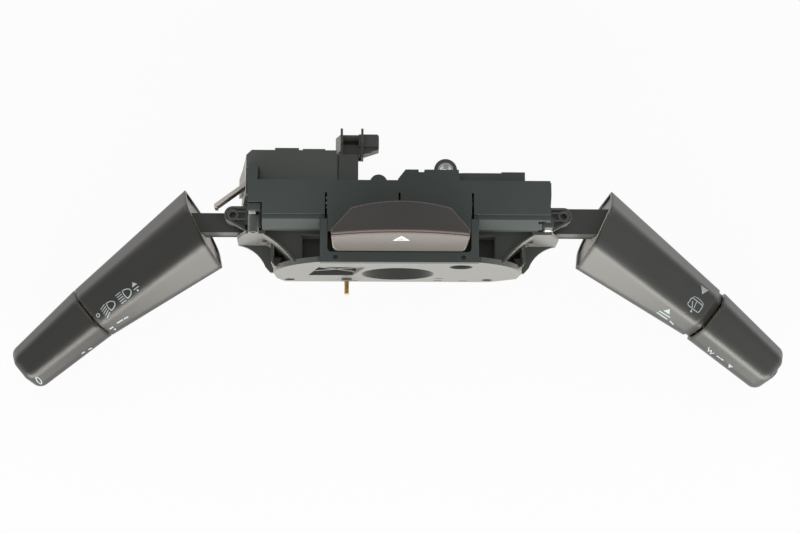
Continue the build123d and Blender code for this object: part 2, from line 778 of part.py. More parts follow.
def frame_seat():
    """Room that the hazard frame takes on top of the well walls."""
    return block(-WELL_HALF, WELL_HALF, -CUT, FRAME_BACK, FRAME_BOTTOM, FACE_TOP + WELL_DEEP)


def screw_boss():
    """Tube on the left shoulder for the screw that holds the left switch case."""
    boss = rod_y(HEAD_X_LEFT, HEAD_Z, TUB_FRONT, HEAD_LEFT_Y, HEAD_RADIUS)
    boss = boss + block(
        HEAD_X_LEFT - HEAD_RADIUS, HEAD_X_LEFT + HEAD_RADIUS, TUB_FRONT, CASE_FRONT - SEAT_GAP,
        SHOULDER_TOP - SCREW_BOSS_SINK, HEAD_Z)
    return boss - rod_y(HEAD_X_LEFT, HEAD_Z, TUB_FRONT - CUT, HEAD_LEFT_Y + CUT, SHANK_RADIUS + RUNNING_FIT)


def face_holes():
    """Round and slotted openings in the driver's face."""
    through = FACE_PLATE + 1
    holes = [
        rod_y(FACE_HOLE_X, FACE_HOLE_Z, -CUT, through, FACE_HOLE / 2),
        rod_y(SCREW_HOLE_X_RIGHT, SCREW_HOLE_Z, -CUT, through, SCREW_HOLE / 2),
        rod_y(SCREW_HOLE_X_LEFT, SCREW_HOLE_Z, -CUT, through, SCREW_HOLE / 2),
    ]
    for x, z in SLOT_PLACES:
        holes.append(block(
            x - SLOT_SIZE / 2, x + SLOT_SIZE / 2, -CUT, through, z - SLOT_HALF_HIGH, z + SLOT_HALF_HIGH))
    return holes


def stalk_opening():
    """Opening in the side of the tub through which the left yoke reaches out."""
    return block(
        -OPENING_OUT, -OPENING_IN, TUB_FRONT + SHOULDER_WALL, CASE_BACK - CASE_WALL,
        CASE_FLOOR, FENCE_TOP + OPENING_RISE)


def rear_details():
    """Screw lug, low strip and round boss behind the cover."""
    lug = rod_z(LUG_X, LUG_Y, LUG_TOP - LUG_HEIGHT, LUG_TOP, LUG_RADIUS)
    web = block(LUG_X - LUG_RADIUS, LUG_X + LUG_RADIUS, TUB_BACK - WALL, LUG_Y, LUG_TOP - LUG_HEIGHT, TUB_TOP)
    strip = block(STRIP_LEFT, STRIP_RIGHT, TUB_BACK - WALL, STRIP_BACK, TUB_TOP - DEEP_SINK, TUB_TOP)
    upper = block(STRIP_LEFT, STRIP_RIGHT, COVER_BACK + SEAT_GAP, STRIP_BACK, TUB_TOP - CUT, STRIP_TOP)
    upper = upper + block(
        STRIP_STEP_X, STRIP_RIGHT, COVER_BACK + SEAT_GAP, STRIP_BACK + STRIP_STEP, TUB_TOP - CUT, STRIP_TOP)
    box = block(
        LUG_X + LUG_RADIUS + BOX_GAP, STRIP_LEFT, COVER_BACK + SEAT_GAP, STRIP_BACK - BOX_INSET,
        TUB_TOP - DEEP_SINK, STRIP_TOP + BOX_RISE)
    dome = rod_z(DOME_X, DOME_Y + COVER_WALL, TUB_TOP - DEEP_SINK, TUB_TOP, DOME_RADIUS)
    return lug + web + strip + upper + box + dome


def horn_boss():
    return rod_y(HORN_X, HORN_Z, 0, HORN_SLEEVE_BACK + HORN_BOSS_OUT, HORN_SLEEVE_RADIUS + HORN_BOSS_WALL)


def pawl_room():
    """Cut through the wall of the column tube for the nose of the cancelling pawl."""
    return block(
        PAWL_X, -COLUMN_BORE / 2 + PAWL_ROOM_IN, PAWL_FRONT - PAWL_PIN_OUT, PAWL_BACK + PAWL_PIN_OUT,
        PAWL_Z - PAWL_ROOM_HALF, PAWL_Z + PAWL_ROOM_HALF)


# ---- cover, frame and rear blocks -------------------------------------------------------------------
def cover_plan():
    """Plan outline of the cover from its lip to the back, with tail and notch."""
    ramp = COVER_TAIL_LEFT - COVER_TAIL_RAMP
    notch_right = COVER_NOTCH_LEFT + COVER_NOTCH
    return Polyline(
        (-COVER_HALF, COVER_SKIRT_FRONT),
        (COVER_HALF, COVER_SKIRT_FRONT),
        (COVER_HALF, COVER_BACK),
        (COVER_TAIL_RIGHT, COVER_BACK),
        (COVER_TAIL_RIGHT - COVER_TAIL_DRAFT, COVER_TAIL_BACK),
        (notch_right, COVER_TAIL_BACK),
        (notch_right, COVER_TAIL_BACK - COVER_NOTCH_DEPTH),
        (COVER_NOTCH_LEFT, COVER_TAIL_BACK - COVER_NOTCH_DEPTH),
        (COVER_NOTCH_LEFT, COVER_TAIL_BACK),
        (COVER_TAIL_LEFT, COVER_TAIL_BACK),
        (ramp, COVER_BACK + COVER_RAMP_STEP),
        (ramp, COVER_BACK),
        (-COVER_HORN_IN, COVER_BACK),
        (-COVER_HORN_IN, COVER_HORN_BACK),
        (-COVER_HALF + CUT, COVER_HORN_BACK),
        (-COVER_HALF, COVER_HORN_BACK - CUT),
        close=True,
    )


def top_cover():
    """Thin cap over both switch modules, with sloping front skirt and relief slots."""
    outer = plan_outline(cover_plan(), TUB_TOP, COVER_TOP)
    inner = block(
        -COVER_HALF + COVER_WALL, COVER_HALF - COVER_WALL,
        COVER_LIP_FRONT, COVER_BACK - COVER_WALL,
        TUB_TOP - CUT, COVER_TOP - COVER_WALL,
    )
    inner = inner + block(
        -COVER_HALF + COVER_WALL, COVER_HALF - COVER_WALL,
        COVER_SKIRT_FRONT + COVER_WALL, COVER_LIP_FRONT + CUT,
        TUB_TOP - CUT, COVER_TOP - COVER_LIP_DROP - COVER_SKIRT_DROP - COVER_WALL,
    )
    step = block(
        -COVER_HALF - CUT, COVER_HALF + CUT, COVER_SKIRT_FRONT - CUT, COVER_LIP_BACK,
        COVER_TOP - COVER_LIP_DROP, COVER_TOP + CUT,
    )
    lip_z = COVER_TOP - COVER_LIP_DROP
    skirt_wire = Plane.YZ * Polyline(
        (COVER_SKIRT_FRONT - CUT, lip_z - COVER_SKIRT_DROP - COVER_SKIRT_RUN_OUT),
        (COVER_LIP_FRONT, lip_z),
        (COVER_LIP_FRONT, lip_z + 2 * CUT),
        (COVER_SKIRT_FRONT - CUT, lip_z + 2 * CUT),
        close=True,
    )
    slope = Pos(-COVER_HALF - CUT, 0, 0) * extrude(make_face(skirt_wire), 2 * (COVER_HALF + CUT))
    cover = outer - inner - step - slope
    bay_half = WELL_HALF + SEAT_GAP
    cover = cover - block(
        -bay_half, bay_half, COVER_SKIRT_FRONT - CUT, FRAME_BACK + SEAT_GAP, 0, COVER_TOP + CUT)
    panel_half = WELL_HALF - FRAME_SIDE - SEAT_GAP
    panel = block(-panel_half, panel_half, PANEL_FRONT, COVER_LIP_BACK, COVER_TOP - COVER_WALL, COVER_TOP)
    cover = cover + panel - plan_outline(button_plan(-BUTTON_GAP), 0, COVER_TOP + CUT)
    for x in (-RELIEF_HALF, RELIEF_HALF - RELIEF_SLOT):
        cover = cover - block(
            x, x + RELIEF_SLOT, FRAME_BACK - CUT, RELIEF_BACK, COVER_TOP - RELIEF_DEPTH, COVER_TOP + CUT)
    cover = cover - block(
        -RELIEF_SLOT / 2, RELIEF_SLOT / 2, RELIEF_CENTRE_FRONT, RELIEF_CENTRE_BACK,
        COVER_TOP - RELIEF_DEPTH, COVER_TOP + CUT)
    slot_z = COVER_TOP - CORNER_SLOT_DEPTH
    corner_slot = block(
        CORNER_SLOT_X - CORNER_SLOT / 2, CORNER_SLOT_X + CORNER_SLOT / 2,
        COVER_LIP_FRONT - CORNER_SLOT_FAR, COVER_LIP_FRONT - CORNER_SLOT_NEAR, slot_z, COVER_TOP + CUT)
    left_step = block(
        -COVER_HALF - CUT, COVER_STEP_X, COVER_SKIRT_FRONT - CUT, COVER_STEP_BACK,
        TUB_TOP - CUT, COVER_TOP + CUT)
    lug_room = block(
        LUG_X - LUG_RADIUS - MOVING_GAP, COVER_TAIL_RIGHT + CUT, COVER_BACK - CUT, COVER_TAIL_BACK + CUT,
        TUB_TOP - CUT, COVER_TOP - COVER_WALL)
    step_in = HEAD_X_RIGHT - TOWER_HALF - MOVING_GAP
    right_step = block(
        step_in, COVER_HALF + CUT, COVER_SKIRT_FRONT - CUT, COVER_LIP_FRONT - CUT,
        TUB_TOP - CUT, COVER_TOP + CUT)
    right_step = right_step + block(
        step_in, COVER_HALF + CUT, COVER_SKIRT_FRONT - CUT, TOWER_BACK_RIGHT + MOVING_GAP,
        TUB_TOP - CUT, COVER_TOP - COVER_WALL)
    right_step = right_step + block(
        step_in - TOWER_NECK_RIGHT, COVER_HALF, COVER_SKIRT_FRONT - CUT, TOWER_BACK_RIGHT,
        TUB_TOP - CUT, HEAD_Z + MOVING_GAP)
    return cover - corner_slot - left_step - lug_room - right_step


def hazard_frame():
    """U-shaped bezel on the walls of the hazard well."""
    outer = block(-WELL_HALF, WELL_HALF, 0, FRAME_BACK, FRAME_BOTTOM, FRAME_TOP)
    inner_half = WELL_HALF - FRAME_SIDE
    inner = block(-inner_half, inner_half, FRAME_BAR, FRAME_BACK + CUT, FRAME_BOTTOM - CUT, FRAME_TOP + CUT)
    corner_edges = inner.edges().filter_by(Axis.Z).group_by(Axis.Y)[0]
    frame = outer - fillet(corner_edges, FRAME_CORNER)
    for x in (-WELL_HALF + FRAME_PIP_IN, WELL_HALF - FRAME_PIP_IN):
        frame = frame - rod_z(x, FRAME_BAR / 2, FRAME_TOP - FRAME_PIP_DEPTH, FRAME_TOP + CUT, FRAME_PIP)
    return frame


def connector_block():
    """Rear left block with leaning side, two plug sockets and latch tabs."""
    low = tub_half_width(BLOCK_BOTTOM) + BLOCK_FOOT_OUT
    high = tub_half_width(BLOCK_TOP)
    wire = Polyline(
        (BLOCK_RIGHT, BLOCK_BOTTOM), (BLOCK_RIGHT, BLOCK_TOP), (-high, BLOCK_TOP), (-low, BLOCK_BOTTOM),
        close=True,
    )
    body = front_outline(wire, TUB_BACK, BLOCK_BACK)
    corner = Polyline(
        (-high + BLOCK_CORNER_IN, BLOCK_BACK + CUT), (-high + BLOCK_CORNER_IN, BLOCK_BACK),
        (-high - BLOCK_CORNER_OUT, BLOCK_BACK - BLOCK_CORNER_BACK),
        (-low - BLOCK_CORNER_OUT, BLOCK_BACK - BLOCK_CORNER_BACK), (-low - BLOCK_CORNER_OUT, BLOCK_BACK + CUT),
        close=True,
    )
    body = body - plan_outline(corner, BLOCK_BOTTOM - CUT, BLOCK_TOP + CUT)
    body = body - block(
        -OPENING_OUT, -COVER_HORN_IN + MOVING_GAP, TUB_BACK - CUT, COVER_HORN_BACK + MOVING_GAP,
        TUB_TOP - TOUCH, BLOCK_TOP + CUT)
    for x0, x1, tab in BLOCK_TABS:
        body = body + block(x0, x1, BLOCK_BACK - CUT, BLOCK_BACK + tab, SOCKET_TOP, BLOCK_TOP)
    socket_z0 = SOCKET_TOP - SOCKET_HEIGHT
    for x0, x1 in socket_spans():
        body = body - block(
            x0, x1, BLOCK_BACK - SOCKET_DEPTH, BLOCK_BACK + 2 * CUT, socket_z0, SOCKET_TOP - SOCKET_ROOF)
    return body - ribbon_band(RIBBON_SLOT)


def socket_spans():
    """Left and right limits of the two plug sockets, which follow their rows of terminals."""
    row = (TERMINALS_IN_ROW - 1) * TERMINAL_PITCH + TERMINAL_WIDTH
    half = row / 2 + SOCKET_SIDE
    return tuple((x - half, x + half) for x in (SOCKET_LEFT_X, SOCKET_RIGHT_X))


def connector_terminals():
    """Two rows of blade terminals in each plug socket."""
    floor = BLOCK_BACK - SOCKET_DEPTH
    middle = SOCKET_TOP - SOCKET_ROOF / 2 - SOCKET_HEIGHT / 2
    blades = []
    for x0, x1 in socket_spans():
        first = (x0 + x1) / 2 - (TERMINALS_IN_ROW - 1) * TERMINAL_PITCH / 2
        for k in range(TERMINALS_IN_ROW):
            x = first + k * TERMINAL_PITCH
            for z in (middle - TERMINAL_ROW_RISE, middle + TERMINAL_ROW_RISE):
                blades.append(block(
                    x - TERMINAL_WIDTH / 2, x + TERMINAL_WIDTH / 2, floor, floor + TERMINAL_LENGTH,
                    z - TERMINAL_THICK / 2, z + TERMINAL_THICK / 2))
    return Compound(children=blades)


def clip_bracket():
    """Two upright fins joined by a bar at the back and by a sunk shelf in front of it."""
    fin_wire = Plane.YZ * Polyline(
        (CLIP_POST_BACK - CUT, CLIP_FOOT),
        (CLIP_BOX_BACK - 2, CLIP_FOOT),
        (CLIP_FIN_BACK, CLIP_TOP - 4),
        (CLIP_FIN_BACK, CLIP_TOP + CLIP_RISE),
        (CLIP_FIN_STEP, CLIP_TOP + CLIP_RISE),
        (CLIP_POST_BACK, CLIP_TOP),
        (CLIP_POST_BACK - CUT, CLIP_TOP),
        close=True,
    )
    fin = extrude(make_face(fin_wire), CLIP_FIN)
    right_fin = Pos(CLIP_FIN_RIGHT, 0, 0) * fin
    bracket = Pos(CLIP_FIN_LEFT, 0, 0) * fin + right_fin
    bar = block(
        CLIP_FIN_LEFT, CLIP_FIN_RIGHT + CLIP_FIN, CLIP_BAR_BACK - CLIP_BAR, CLIP_BAR_BACK,
        CLIP_FOOT, CLIP_TOP)
    shelf_top = CLIP_TOP - CLIP_SHELF_DROP
    shelf = block(
        CLIP_FIN_LEFT, CLIP_FIN_RIGHT + CLIP_FIN, CLIP_POST_BACK + CLIP_GROOVE, CLIP_FIN_STEP,
        shelf_top - CLIP_SHELF, shelf_top)
    floor = block(
        CLIP_FIN_LEFT, CLIP_FIN_RIGHT + CLIP_FIN, CLIP_POST_BACK - CUT, CLIP_BAR_BACK,
        CLIP_FOOT, CLIP_FOOT + CLIP_SHELF)
    return bracket + bar + shelf + floor


def clip_box():
    """Latch box at the right of the bracket, with a chin that slants back to the fin."""
    outline = Polyline(
        (CLIP_BOX_LEFT, CLIP_BOX_BACK), (CLIP_BOX_RIGHT, CLIP_BOX_BACK),
        (CLIP_BOX_RIGHT, CLIP_BOX_FRONT), (CLIP_BOX_LEFT, CLIP_BOX_FRONT), close=True)
    foot = CLIP_TOP - CLIP_BOX_HEIGHT
    box = plan_outline(outline, foot, CLIP_TOP)
    corner = box.edges().filter_by(Axis.Z).sort_by(lambda e: e.center().X + e.center().Y)[-1]
    box = fillet(corner, CLIP_BOX_WALL)
    chin_outline = Polyline(
        (CLIP_BOX_LEFT, CLIP_BOX_FRONT), (CLIP_BOX_RIGHT, CLIP_BOX_FRONT),
        (CLIP_BOX_RIGHT, CLIP_BOX_FRONT - CLIP_BOX_WALL),
        (CLIP_BOX_LEFT, CLIP_BOX_FRONT - CLIP_BOX_CHIN), close=True)
    chin = plan_outline(chin_outline, foot, CLIP_TOP - CLIP_BOX_WALL)
    hole_x = (CLIP_FIN_RIGHT + CLIP_BOX_RIGHT) / 2
    hole = rod_y(hole_x, CLIP_TOP - 2 * CLIP_BOX_WALL, CLIP_BOX_FRONT - CLIP_BOX_CHIN - CUT,
                 CLIP_BOX_BACK - CLIP_BOX_WALL, CLIP_BOX_HOLE / 2)
    return box + chin - hole


def loom_clip():
    """Post behind the cover that carries a two-finned clip for the wiring loom."""
    post = block(BLOCK_RIGHT, CLIP_POST_RIGHT, TUB_BACK, CLIP_POST_BACK, CLIP_POST_FOOT, CLIP_TOP)
    groove = block(
        BLOCK_RIGHT + CLIP_GROOVE, BLOCK_RIGHT + 2 * CLIP_GROOVE, TUB_BACK - CUT, CLIP_POST_BACK + CUT,
        CLIP_TOP - CUT, CLIP_TOP + CUT)
    lean_wire = Polyline(
        (CLIP_FIN_LEFT + CLIP_FIN / 2, CLIP_TOP), (CLIP_FIN_LEFT - CLIP_LEAN, CLIP_FOOT),
        (CLIP_FIN_LEFT + CLIP_FIN / 2, CLIP_FOOT), close=True)
    lean = front_outline(lean_wire, BLOCK_BACK + SEAT_GAP, CLIP_FIN_BACK - 2)
    return post - groove + clip_bracket() + lean + clip_box()


def lug_bush():
    """Steel compression bush pressed into the screw lug."""
    outer = rod_z(LUG_X, LUG_Y, LUG_TOP - LUG_HEIGHT, LUG_TOP, LUG_SCREW / 2 + LUG_BUSH_WALL)
    return outer - rod_z(LUG_X, LUG_Y, LUG_TOP - LUG_HEIGHT - CUT, LUG_TOP + CUT, LUG_SCREW / 2)


# ---- hazard button -----------------------------------------------------------------------------------
def button_plan(inset):
    """Plan outline of the button: straight front, raked flanks, bowed back."""
    front = (BUTTON_FRONT_HALF - inset, BUTTON_FRONT + inset)
    waist = (BUTTON_WAIST_HALF - inset, BUTTON_WAIST)
    back = (BUTTON_BACK_HALF - inset, BUTTON_BACK_END - inset)
    return Wire([
        Line((-front[0], front[1]), front),
        Line(front, waist),
        Line(waist, back),
        ThreePointArc(back, (0, BUTTON_BACK - inset), (-back[0], back[1])),
        Line((-back[0], back[1]), (-waist[0], waist[1])),
        Line((-waist[0], waist[1]), (-front[0], front[1])),
    ])


def under_crown(drop):
    """Everything below the crowned top face of the button, lowered by a given amount."""
    centre_z = BUTTON_TOP - BUTTON_CROWN
    return rod_y(0, centre_z, BUTTON_FRONT - WELL_DEEP, BUTTON_BACK + WELL_DEEP, BUTTON_CROWN - drop)


def button_column(inset, drop, bottom):
    """Button body from a bottom level up to its crowned top, with a leaning front face."""
    column = plan_outline(button_plan(inset), bottom, BUTTON_TOP + WELL_DEEP)
    upright = column.edges().filter_by(Axis.Z)
    corners = [e for e in upright if abs(e.center().Y - BUTTON_WAIST) > 1]
    column = fillet(corners, BUTTON_CORNER - inset / 2)
    above = BUTTON_TOP + DEEP_SINK
    rise = above - FRAME_TOP
    lean_wire = Plane.YZ * Polyline(
        (BUTTON_FRONT + inset, FRAME_TOP),
        (BUTTON_FRONT + inset + rise * tan(radians(BUTTON_LEAN)), above),
        (BUTTON_FRONT - 2 * CUT, above),
        (BUTTON_FRONT - 2 * CUT, FRAME_TOP),
        close=True,
    )
    half = BUTTON_WAIST_HALF + WELL_DEEP
    wedge = Pos(-half, 0, 0) * extrude(make_face(lean_wire), 2 * half)
    return (column - wedge) & under_crown(drop)


def hazard_button():
    """Hollow button body with two guide rods under it."""
    drop = BUTTON_CAP + BUTTON_LENS
    body = button_column(0, drop, BUTTON_BOTTOM)
    hollow = button_column(BUTTON_SHELL, drop + BUTTON_SHELL, BUTTON_BOTTOM - CUT)
    body = body - hollow
    for x in (-GUIDE_X, GUIDE_X):
        guide = rod_z(x, GUIDE_Y, GUIDE_FOOT - GUIDE_PAST, BUTTON_TOP, GUIDE_RADIUS) & under_crown(drop + SINK)
        collar = rod_z(x, GUIDE_Y, GUIDE_COLLAR_Z, GUIDE_COLLAR_Z + GUIDE_COLLAR_THICK, GUIDE_COLLAR)
        body = body + guide + collar
    return body


def hazard_lens():
    """Red translucent layer whose edge shows round the top of the button."""
    band = button_column(0, BUTTON_CAP, BUTTON_BOTTOM)
    return band - under_crown(BUTTON_CAP + BUTTON_LENS)


def hazard_cap():
    """Dark top plate of the button, with a softened rim."""
    cap = button_column(BUTTON_CAP_INSET, 0, BUTTON_BOTTOM) - under_crown(BUTTON_CAP)
    top = cap.faces().sort_by(Axis.Z)[-1]
    return fillet(top.edges(), BUTTON_CAP_ROUND)


def hazard_springs():
    """Two return springs round the guide rods, from the well floor to the collars."""
    length = GUIDE_COLLAR_Z - WELL_FLOOR
    return Compound(children=[
        coil((x, GUIDE_Y, WELL_FLOOR), (0, 0, 1), length, SPRING_RADIUS, SPRING_WIRE, SPRING_TURNS)
        for x in (-GUIDE_X, GUIDE_X)
    ])


# ---- horn contact and cancelling pawl --------------------------------------------------------------
def horn_sleeve():
    """Dark guide sleeve of the horn contact, pressed into the driver's face."""
    back = HORN_SLEEVE_BACK
    sleeve = rod_y(HORN_X, HORN_Z, -HORN_SLEEVE_OUT, back, HORN_SLEEVE_RADIUS)
    sleeve = sleeve - rod_y(HORN_X, HORN_Z, -HORN_SLEEVE_OUT - CUT, HORN_SEAT, HORN_PIN_RADIUS + RUNNING_FIT)
    return sleeve - rod_y(HORN_X, HORN_Z, HORN_SEAT, back - HORN_SLEEVE_LIP, HORN_PIN_FLANGE + RUNNING_FIT)


def horn_pin():
    """Brass contact pin with a round nose and a retaining flange."""
    pin = rod_y(HORN_X, HORN_Z, -HORN_PIN_OUT, HORN_PIN_TAIL, HORN_PIN_RADIUS)
    nose = pin.edges().filter_by(GeomType.CIRCLE).sort_by(Axis.Y)[0]
    pin = fillet(nose, HORN_PIN_RADIUS * NOSE_SHARE)
    return pin + rod_y(HORN_X, HORN_Z, HORN_SEAT + RUNNING_FIT, HORN_FLANGE_BACK, HORN_PIN_FLANGE)


def horn_pin_spring():
    length = HORN_SLEEVE_BACK - HORN_SLEEVE_LIP - HORN_PIN_TAIL
    return coil(
        (HORN_X, HORN_PIN_TAIL, HORN_Z), (0, 1, 0), length,
        HORN_SPRING_RADIUS, HORN_SPRING_WIRE, HORN_SPRING_TURNS)


def cancel_pawl():
    """Pawl whose nose reaches through the column tube to meet the cancelling cam."""
    tip_x = PAWL_X + PAWL_LENGTH
    wire = Polyline(
        (PAWL_X - PAWL_ROOT, PAWL_Z - PAWL_ROOT),
        (PAWL_X + PAWL_SHOULDER, PAWL_Z - PAWL_SHOULDER_HALF),
        (tip_x - PAWL_TIP, PAWL_Z - PAWL_TIP_HALF),
        (tip_x, PAWL_Z),
        (tip_x - PAWL_TIP, PAWL_Z + PAWL_TIP_HALF),
        (PAWL_X + PAWL_SHOULDER, PAWL_Z + PAWL_SHOULDER_HALF),
        (PAWL_X - PAWL_ROOT, PAWL_Z + PAWL_ROOT),
        close=True,
    )
    pawl = front_outline(wire, PAWL_FRONT, PAWL_BACK)
    pawl = pawl + rod_y(PAWL_X, PAWL_Z, PAWL_FRONT, PAWL_BACK, PAWL_HUB)
    return pawl - rod_y(PAWL_X, PAWL_Z, PAWL_FRONT - CUT, PAWL_BACK + CUT, PAWL_PIN_RADIUS + RUNNING_FIT)


def cancel_pin():
    """Steel pin that carries the pawl, held in the left switch case."""
    return rod_y(PAWL_X, PAWL_Z, PAWL_FRONT - PAWL_PIN_OUT, CASE_FRONT + PAWL_PIN_DEPTH, PAWL_PIN_RADIUS)


# ---- switch modules -------------------------------------------------------------------------------------
def switch_case():
    """Left switch case: two cheeks that carry the yoke axle, and a contact chamber."""
    case = block(CASE_OUT, CASE_IN, CASE_FRONT, CASE_BACK, CASE_BOTTOM, CASE_TOP)
    room = block(
        CASE_OUT - CUT, CASE_CORE - CASE_CORE_WALL,
        CASE_FRONT + CASE_WALL, CASE_BACK - CASE_WALL - CASE_BACK_STEP,
        CASE_FLOOR, CASE_TOP + CUT)
    tube_room = rod_y(0, 0, CASE_FRONT - CUT, CASE_BACK + CUT, COLUMN_BORE / 2 + BORE_WALL + SEAT_GAP)
    case = case - room - tube_room
    case = case - rod_y(HUB_X, HUB_Z, CASE_FRONT - CUT, CASE_BACK + CUT, AXLE_RADIUS + RUNNING_FIT)
    well = block(
        -WELL_HALF - SEAT_GAP, WELL_HALF, CASE_FRONT - CUT, FRAME_BACK + SEAT_GAP,
        WELL_FLOOR - WELL_FLOOR_PLATE - SEAT_GAP, CASE_TOP + CUT)
    post = rod_z(-BOARD_POST_X, (BOARD_FRONT + BOARD_BACK) / 2, CASE_TOP - CUT, BOARD_Z, BOARD_POST)
    return case - well + post


def left_switch_case():
    case = switch_case()
    case = case - rod_y(PAWL_X, PAWL_Z, CASE_FRONT - CUT, CASE_FRONT + PAWL_PIN_DEPTH, PAWL_PIN_RADIUS)
    case = case + case_tower(
        HEAD_X_LEFT, HEAD_LEFT_Y + HEAD_THICK, TOWER_BACK_LEFT, TOWER_TOP_LEFT,
        TOWER_GROWTH_LEFT, TOWER_NECK_LEFT)
    horn_room = rod_y(
        HORN_X, HORN_Z, CASE_FRONT - CUT, HORN_SLEEVE_BACK + 2 * CUT,
        HORN_SLEEVE_RADIUS + HORN_BOSS_WALL + SEAT_GAP)
    return case - horn_room


def right_switch_case():
    tower = case_tower(
        HEAD_X_RIGHT, HEAD_RIGHT_Y + HEAD_THICK, TOWER_BACK_RIGHT, TOWER_TOP_RIGHT,
        0.0, TOWER_NECK_RIGHT)
    return mirrored(switch_case()) + tower


def case_tower(x, y0, y1, top, growth, neck_width):
    """Block on a neck above the front cheek of a switch case, tapped for its screw."""
    outward = -1 if x < 0 else 1
    inner = x - outward * TOWER_HALF
    under = TUB_TOP + MOVING_GAP
    tower = block(x + outward * TOWER_HALF, inner - outward * growth, y0, y1, under, top)
    foot = block(outward * -CASE_OUT, inner, CASE_FRONT, CASE_FRONT + CASE_WALL, CASE_TOP - CUT, under + CUT)
    neck_back = max(y0 + CUT, CASE_FRONT + CASE_WALL)
    neck = block(inner, inner - outward * neck_width, CASE_FRONT, neck_back, under, HEAD_Z)
    hole = rod_y(x, HEAD_Z, y0 - CUT, y0 + SHANK_LENGTH, SHANK_RADIUS + RUNNING_FIT)
    return tower + foot + neck - hole


def yoke():
    """Left clevis that tilts about its axle and carries the lever's pivot pin."""
    hub = rod_y(HUB_X, HUB_Z, HUB_FRONT, HUB_BACK, HUB_RADIUS)
    back = block(YOKE_BACK_X, YOKE_IN_X, HUB_FRONT, HUB_BACK, EAR_BOTTOM, EAR_TOP)
    link = block(YOKE_IN_X - CUT, HUB_X, HUB_FRONT, HUB_BACK, HUB_Z - YOKE_LINK_HALF, HUB_Z + YOKE_LINK_HALF)
    horn = block(
        HUB_X, HUB_X + DETENT_RADIUS - YOKE_HORN_END, HUB_FRONT + YOKE_HORN_HALF, HUB_BACK - YOKE_HORN_HALF,
        HUB_Z - YOKE_HORN_HALF, HUB_Z + YOKE_HORN_HALF)
    ear = ear_plan(0)
    top = plan_outline(ear, EAR_TOP - EAR_PLATE, EAR_TOP)
    bottom = plan_outline(ear_plan(0), EAR_BOTTOM, EAR_BOTTOM + EAR_PLATE)
    flats = block(EAR_ROOT_X, YOKE_IN_X, HUB_FRONT, EAR_ROOT_BACK, EAR_TOP - EAR_PLATE, EAR_TOP)
    flats = flats + block(EAR_ROOT_X, YOKE_IN_X, HUB_FRONT, EAR_ROOT_BACK, EAR_BOTTOM, EAR_BOTTOM + EAR_PLATE)
    body = hub + back + link + horn + top + bottom + flats
    body = body - ear_recess()
    body = body - rod_z(PIVOT_X, PIVOT_Y, EAR_BOTTOM - CUT, EAR_TOP + CUT, PIN_RADIUS + RUNNING_FIT)
    body = body - rod_y(HUB_X, HUB_Z, HUB_FRONT - CUT, HUB_BACK + CUT, AXLE_RADIUS + RUNNING_FIT)
    plunger_y = (HUB_FRONT + HUB_BACK) / 2
    root = (HUB_X + DETENT_SOCKET_START, plunger_y, HUB_Z)
    socket = rod(root, (1, 0, 0), DETENT_SOCKET_DEPTH, DETENT_PLUNGER + RUNNING_FIT)
    return body - socket


def ear_plan(inset):
    """Plan outline of an ear: a round nose with flanks running to the root."""
    nose = EAR_NOSE - inset
    front = (EAR_ROOT_X, EAR_ROOT_FRONT + inset * EAR_FRONT_SLANT)
    back = (EAR_ROOT_X, EAR_ROOT_BACK - inset)
    back_start = (PIVOT_X, PIVOT_Y + nose)
    lean = radians(EAR_FLANK_ANGLE)
    front_start = (PIVOT_X + nose * cos(lean), PIVOT_Y + nose * sin(lean))
    return Wire([
        Line(front, back),
        Line(back, back_start),
        ThreePointArc(back_start, (PIVOT_X - nose, PIVOT_Y), front_start),
        Line(front_start, front),
    ])


def ear_recess():
    """Shallow recess in the top ear that leaves a rim, a ring round the pin and ribs."""
    z0 = EAR_TOP - EAR_RECESS
    recess = plan_outline(ear_plan(EAR_RIM), z0, EAR_TOP + CUT)
    ring = rod_z(PIVOT_X, PIVOT_Y, z0 - CUT, EAR_TOP + 2 * CUT, EAR_NOSE - EAR_RIM * EAR_RING)
    recess = recess - ring
    for y in (PIVOT_Y + EAR_RIB_BACK, PIVOT_Y - EAR_RIB_FRONT):
        recess = recess - block(
            PIVOT_X, EAR_ROOT_X, y - EAR_RIB_HALF, y + EAR_RIB_HALF, z0 - CUT, EAR_TOP + 2 * CUT)
    return recess


def yoke_axle():
    return rod_y(HUB_X, HUB_Z, CASE_FRONT, CASE_BACK, AXLE_RADIUS)


def pivot_pin():
    """Steel pin through both ears and the lever, sunk a little in the top ear."""
    return rod_z(PIVOT_X, PIVOT_Y, EAR_BOTTOM, EAR_TOP - PIN_SINK, PIN_RADIUS)


def detent_plunger():
    """Round-nosed plunger that the yoke presses against its track."""
    y = (HUB_FRONT + HUB_BACK) / 2
    start = HUB_X + DETENT_PLUNGER_START
    length = DETENT_RADIUS - DETENT_PLUNGER_NOSE - DETENT_PLUNGER_START
    body = rod((start, y, HUB_Z), (1, 0, 0), length, DETENT_PLUNGER)
    nose = body.edges().filter_by(GeomType.CIRCLE).sort_by(Axis.X)[-1]
    return fillet(nose, DETENT_PLUNGER * PLUNGER_NOSE_SHARE)


def detent_spring():
    y = (HUB_FRONT + HUB_BACK) / 2
    return coil(
        (HUB_X + DETENT_SOCKET_START, y, HUB_Z), (1, 0, 0), DETENT_SPRING_LENGTH,
        DETENT_SPRING_RADIUS, DETENT_SPRING_WIRE, DETENT_SPRING_TURNS)


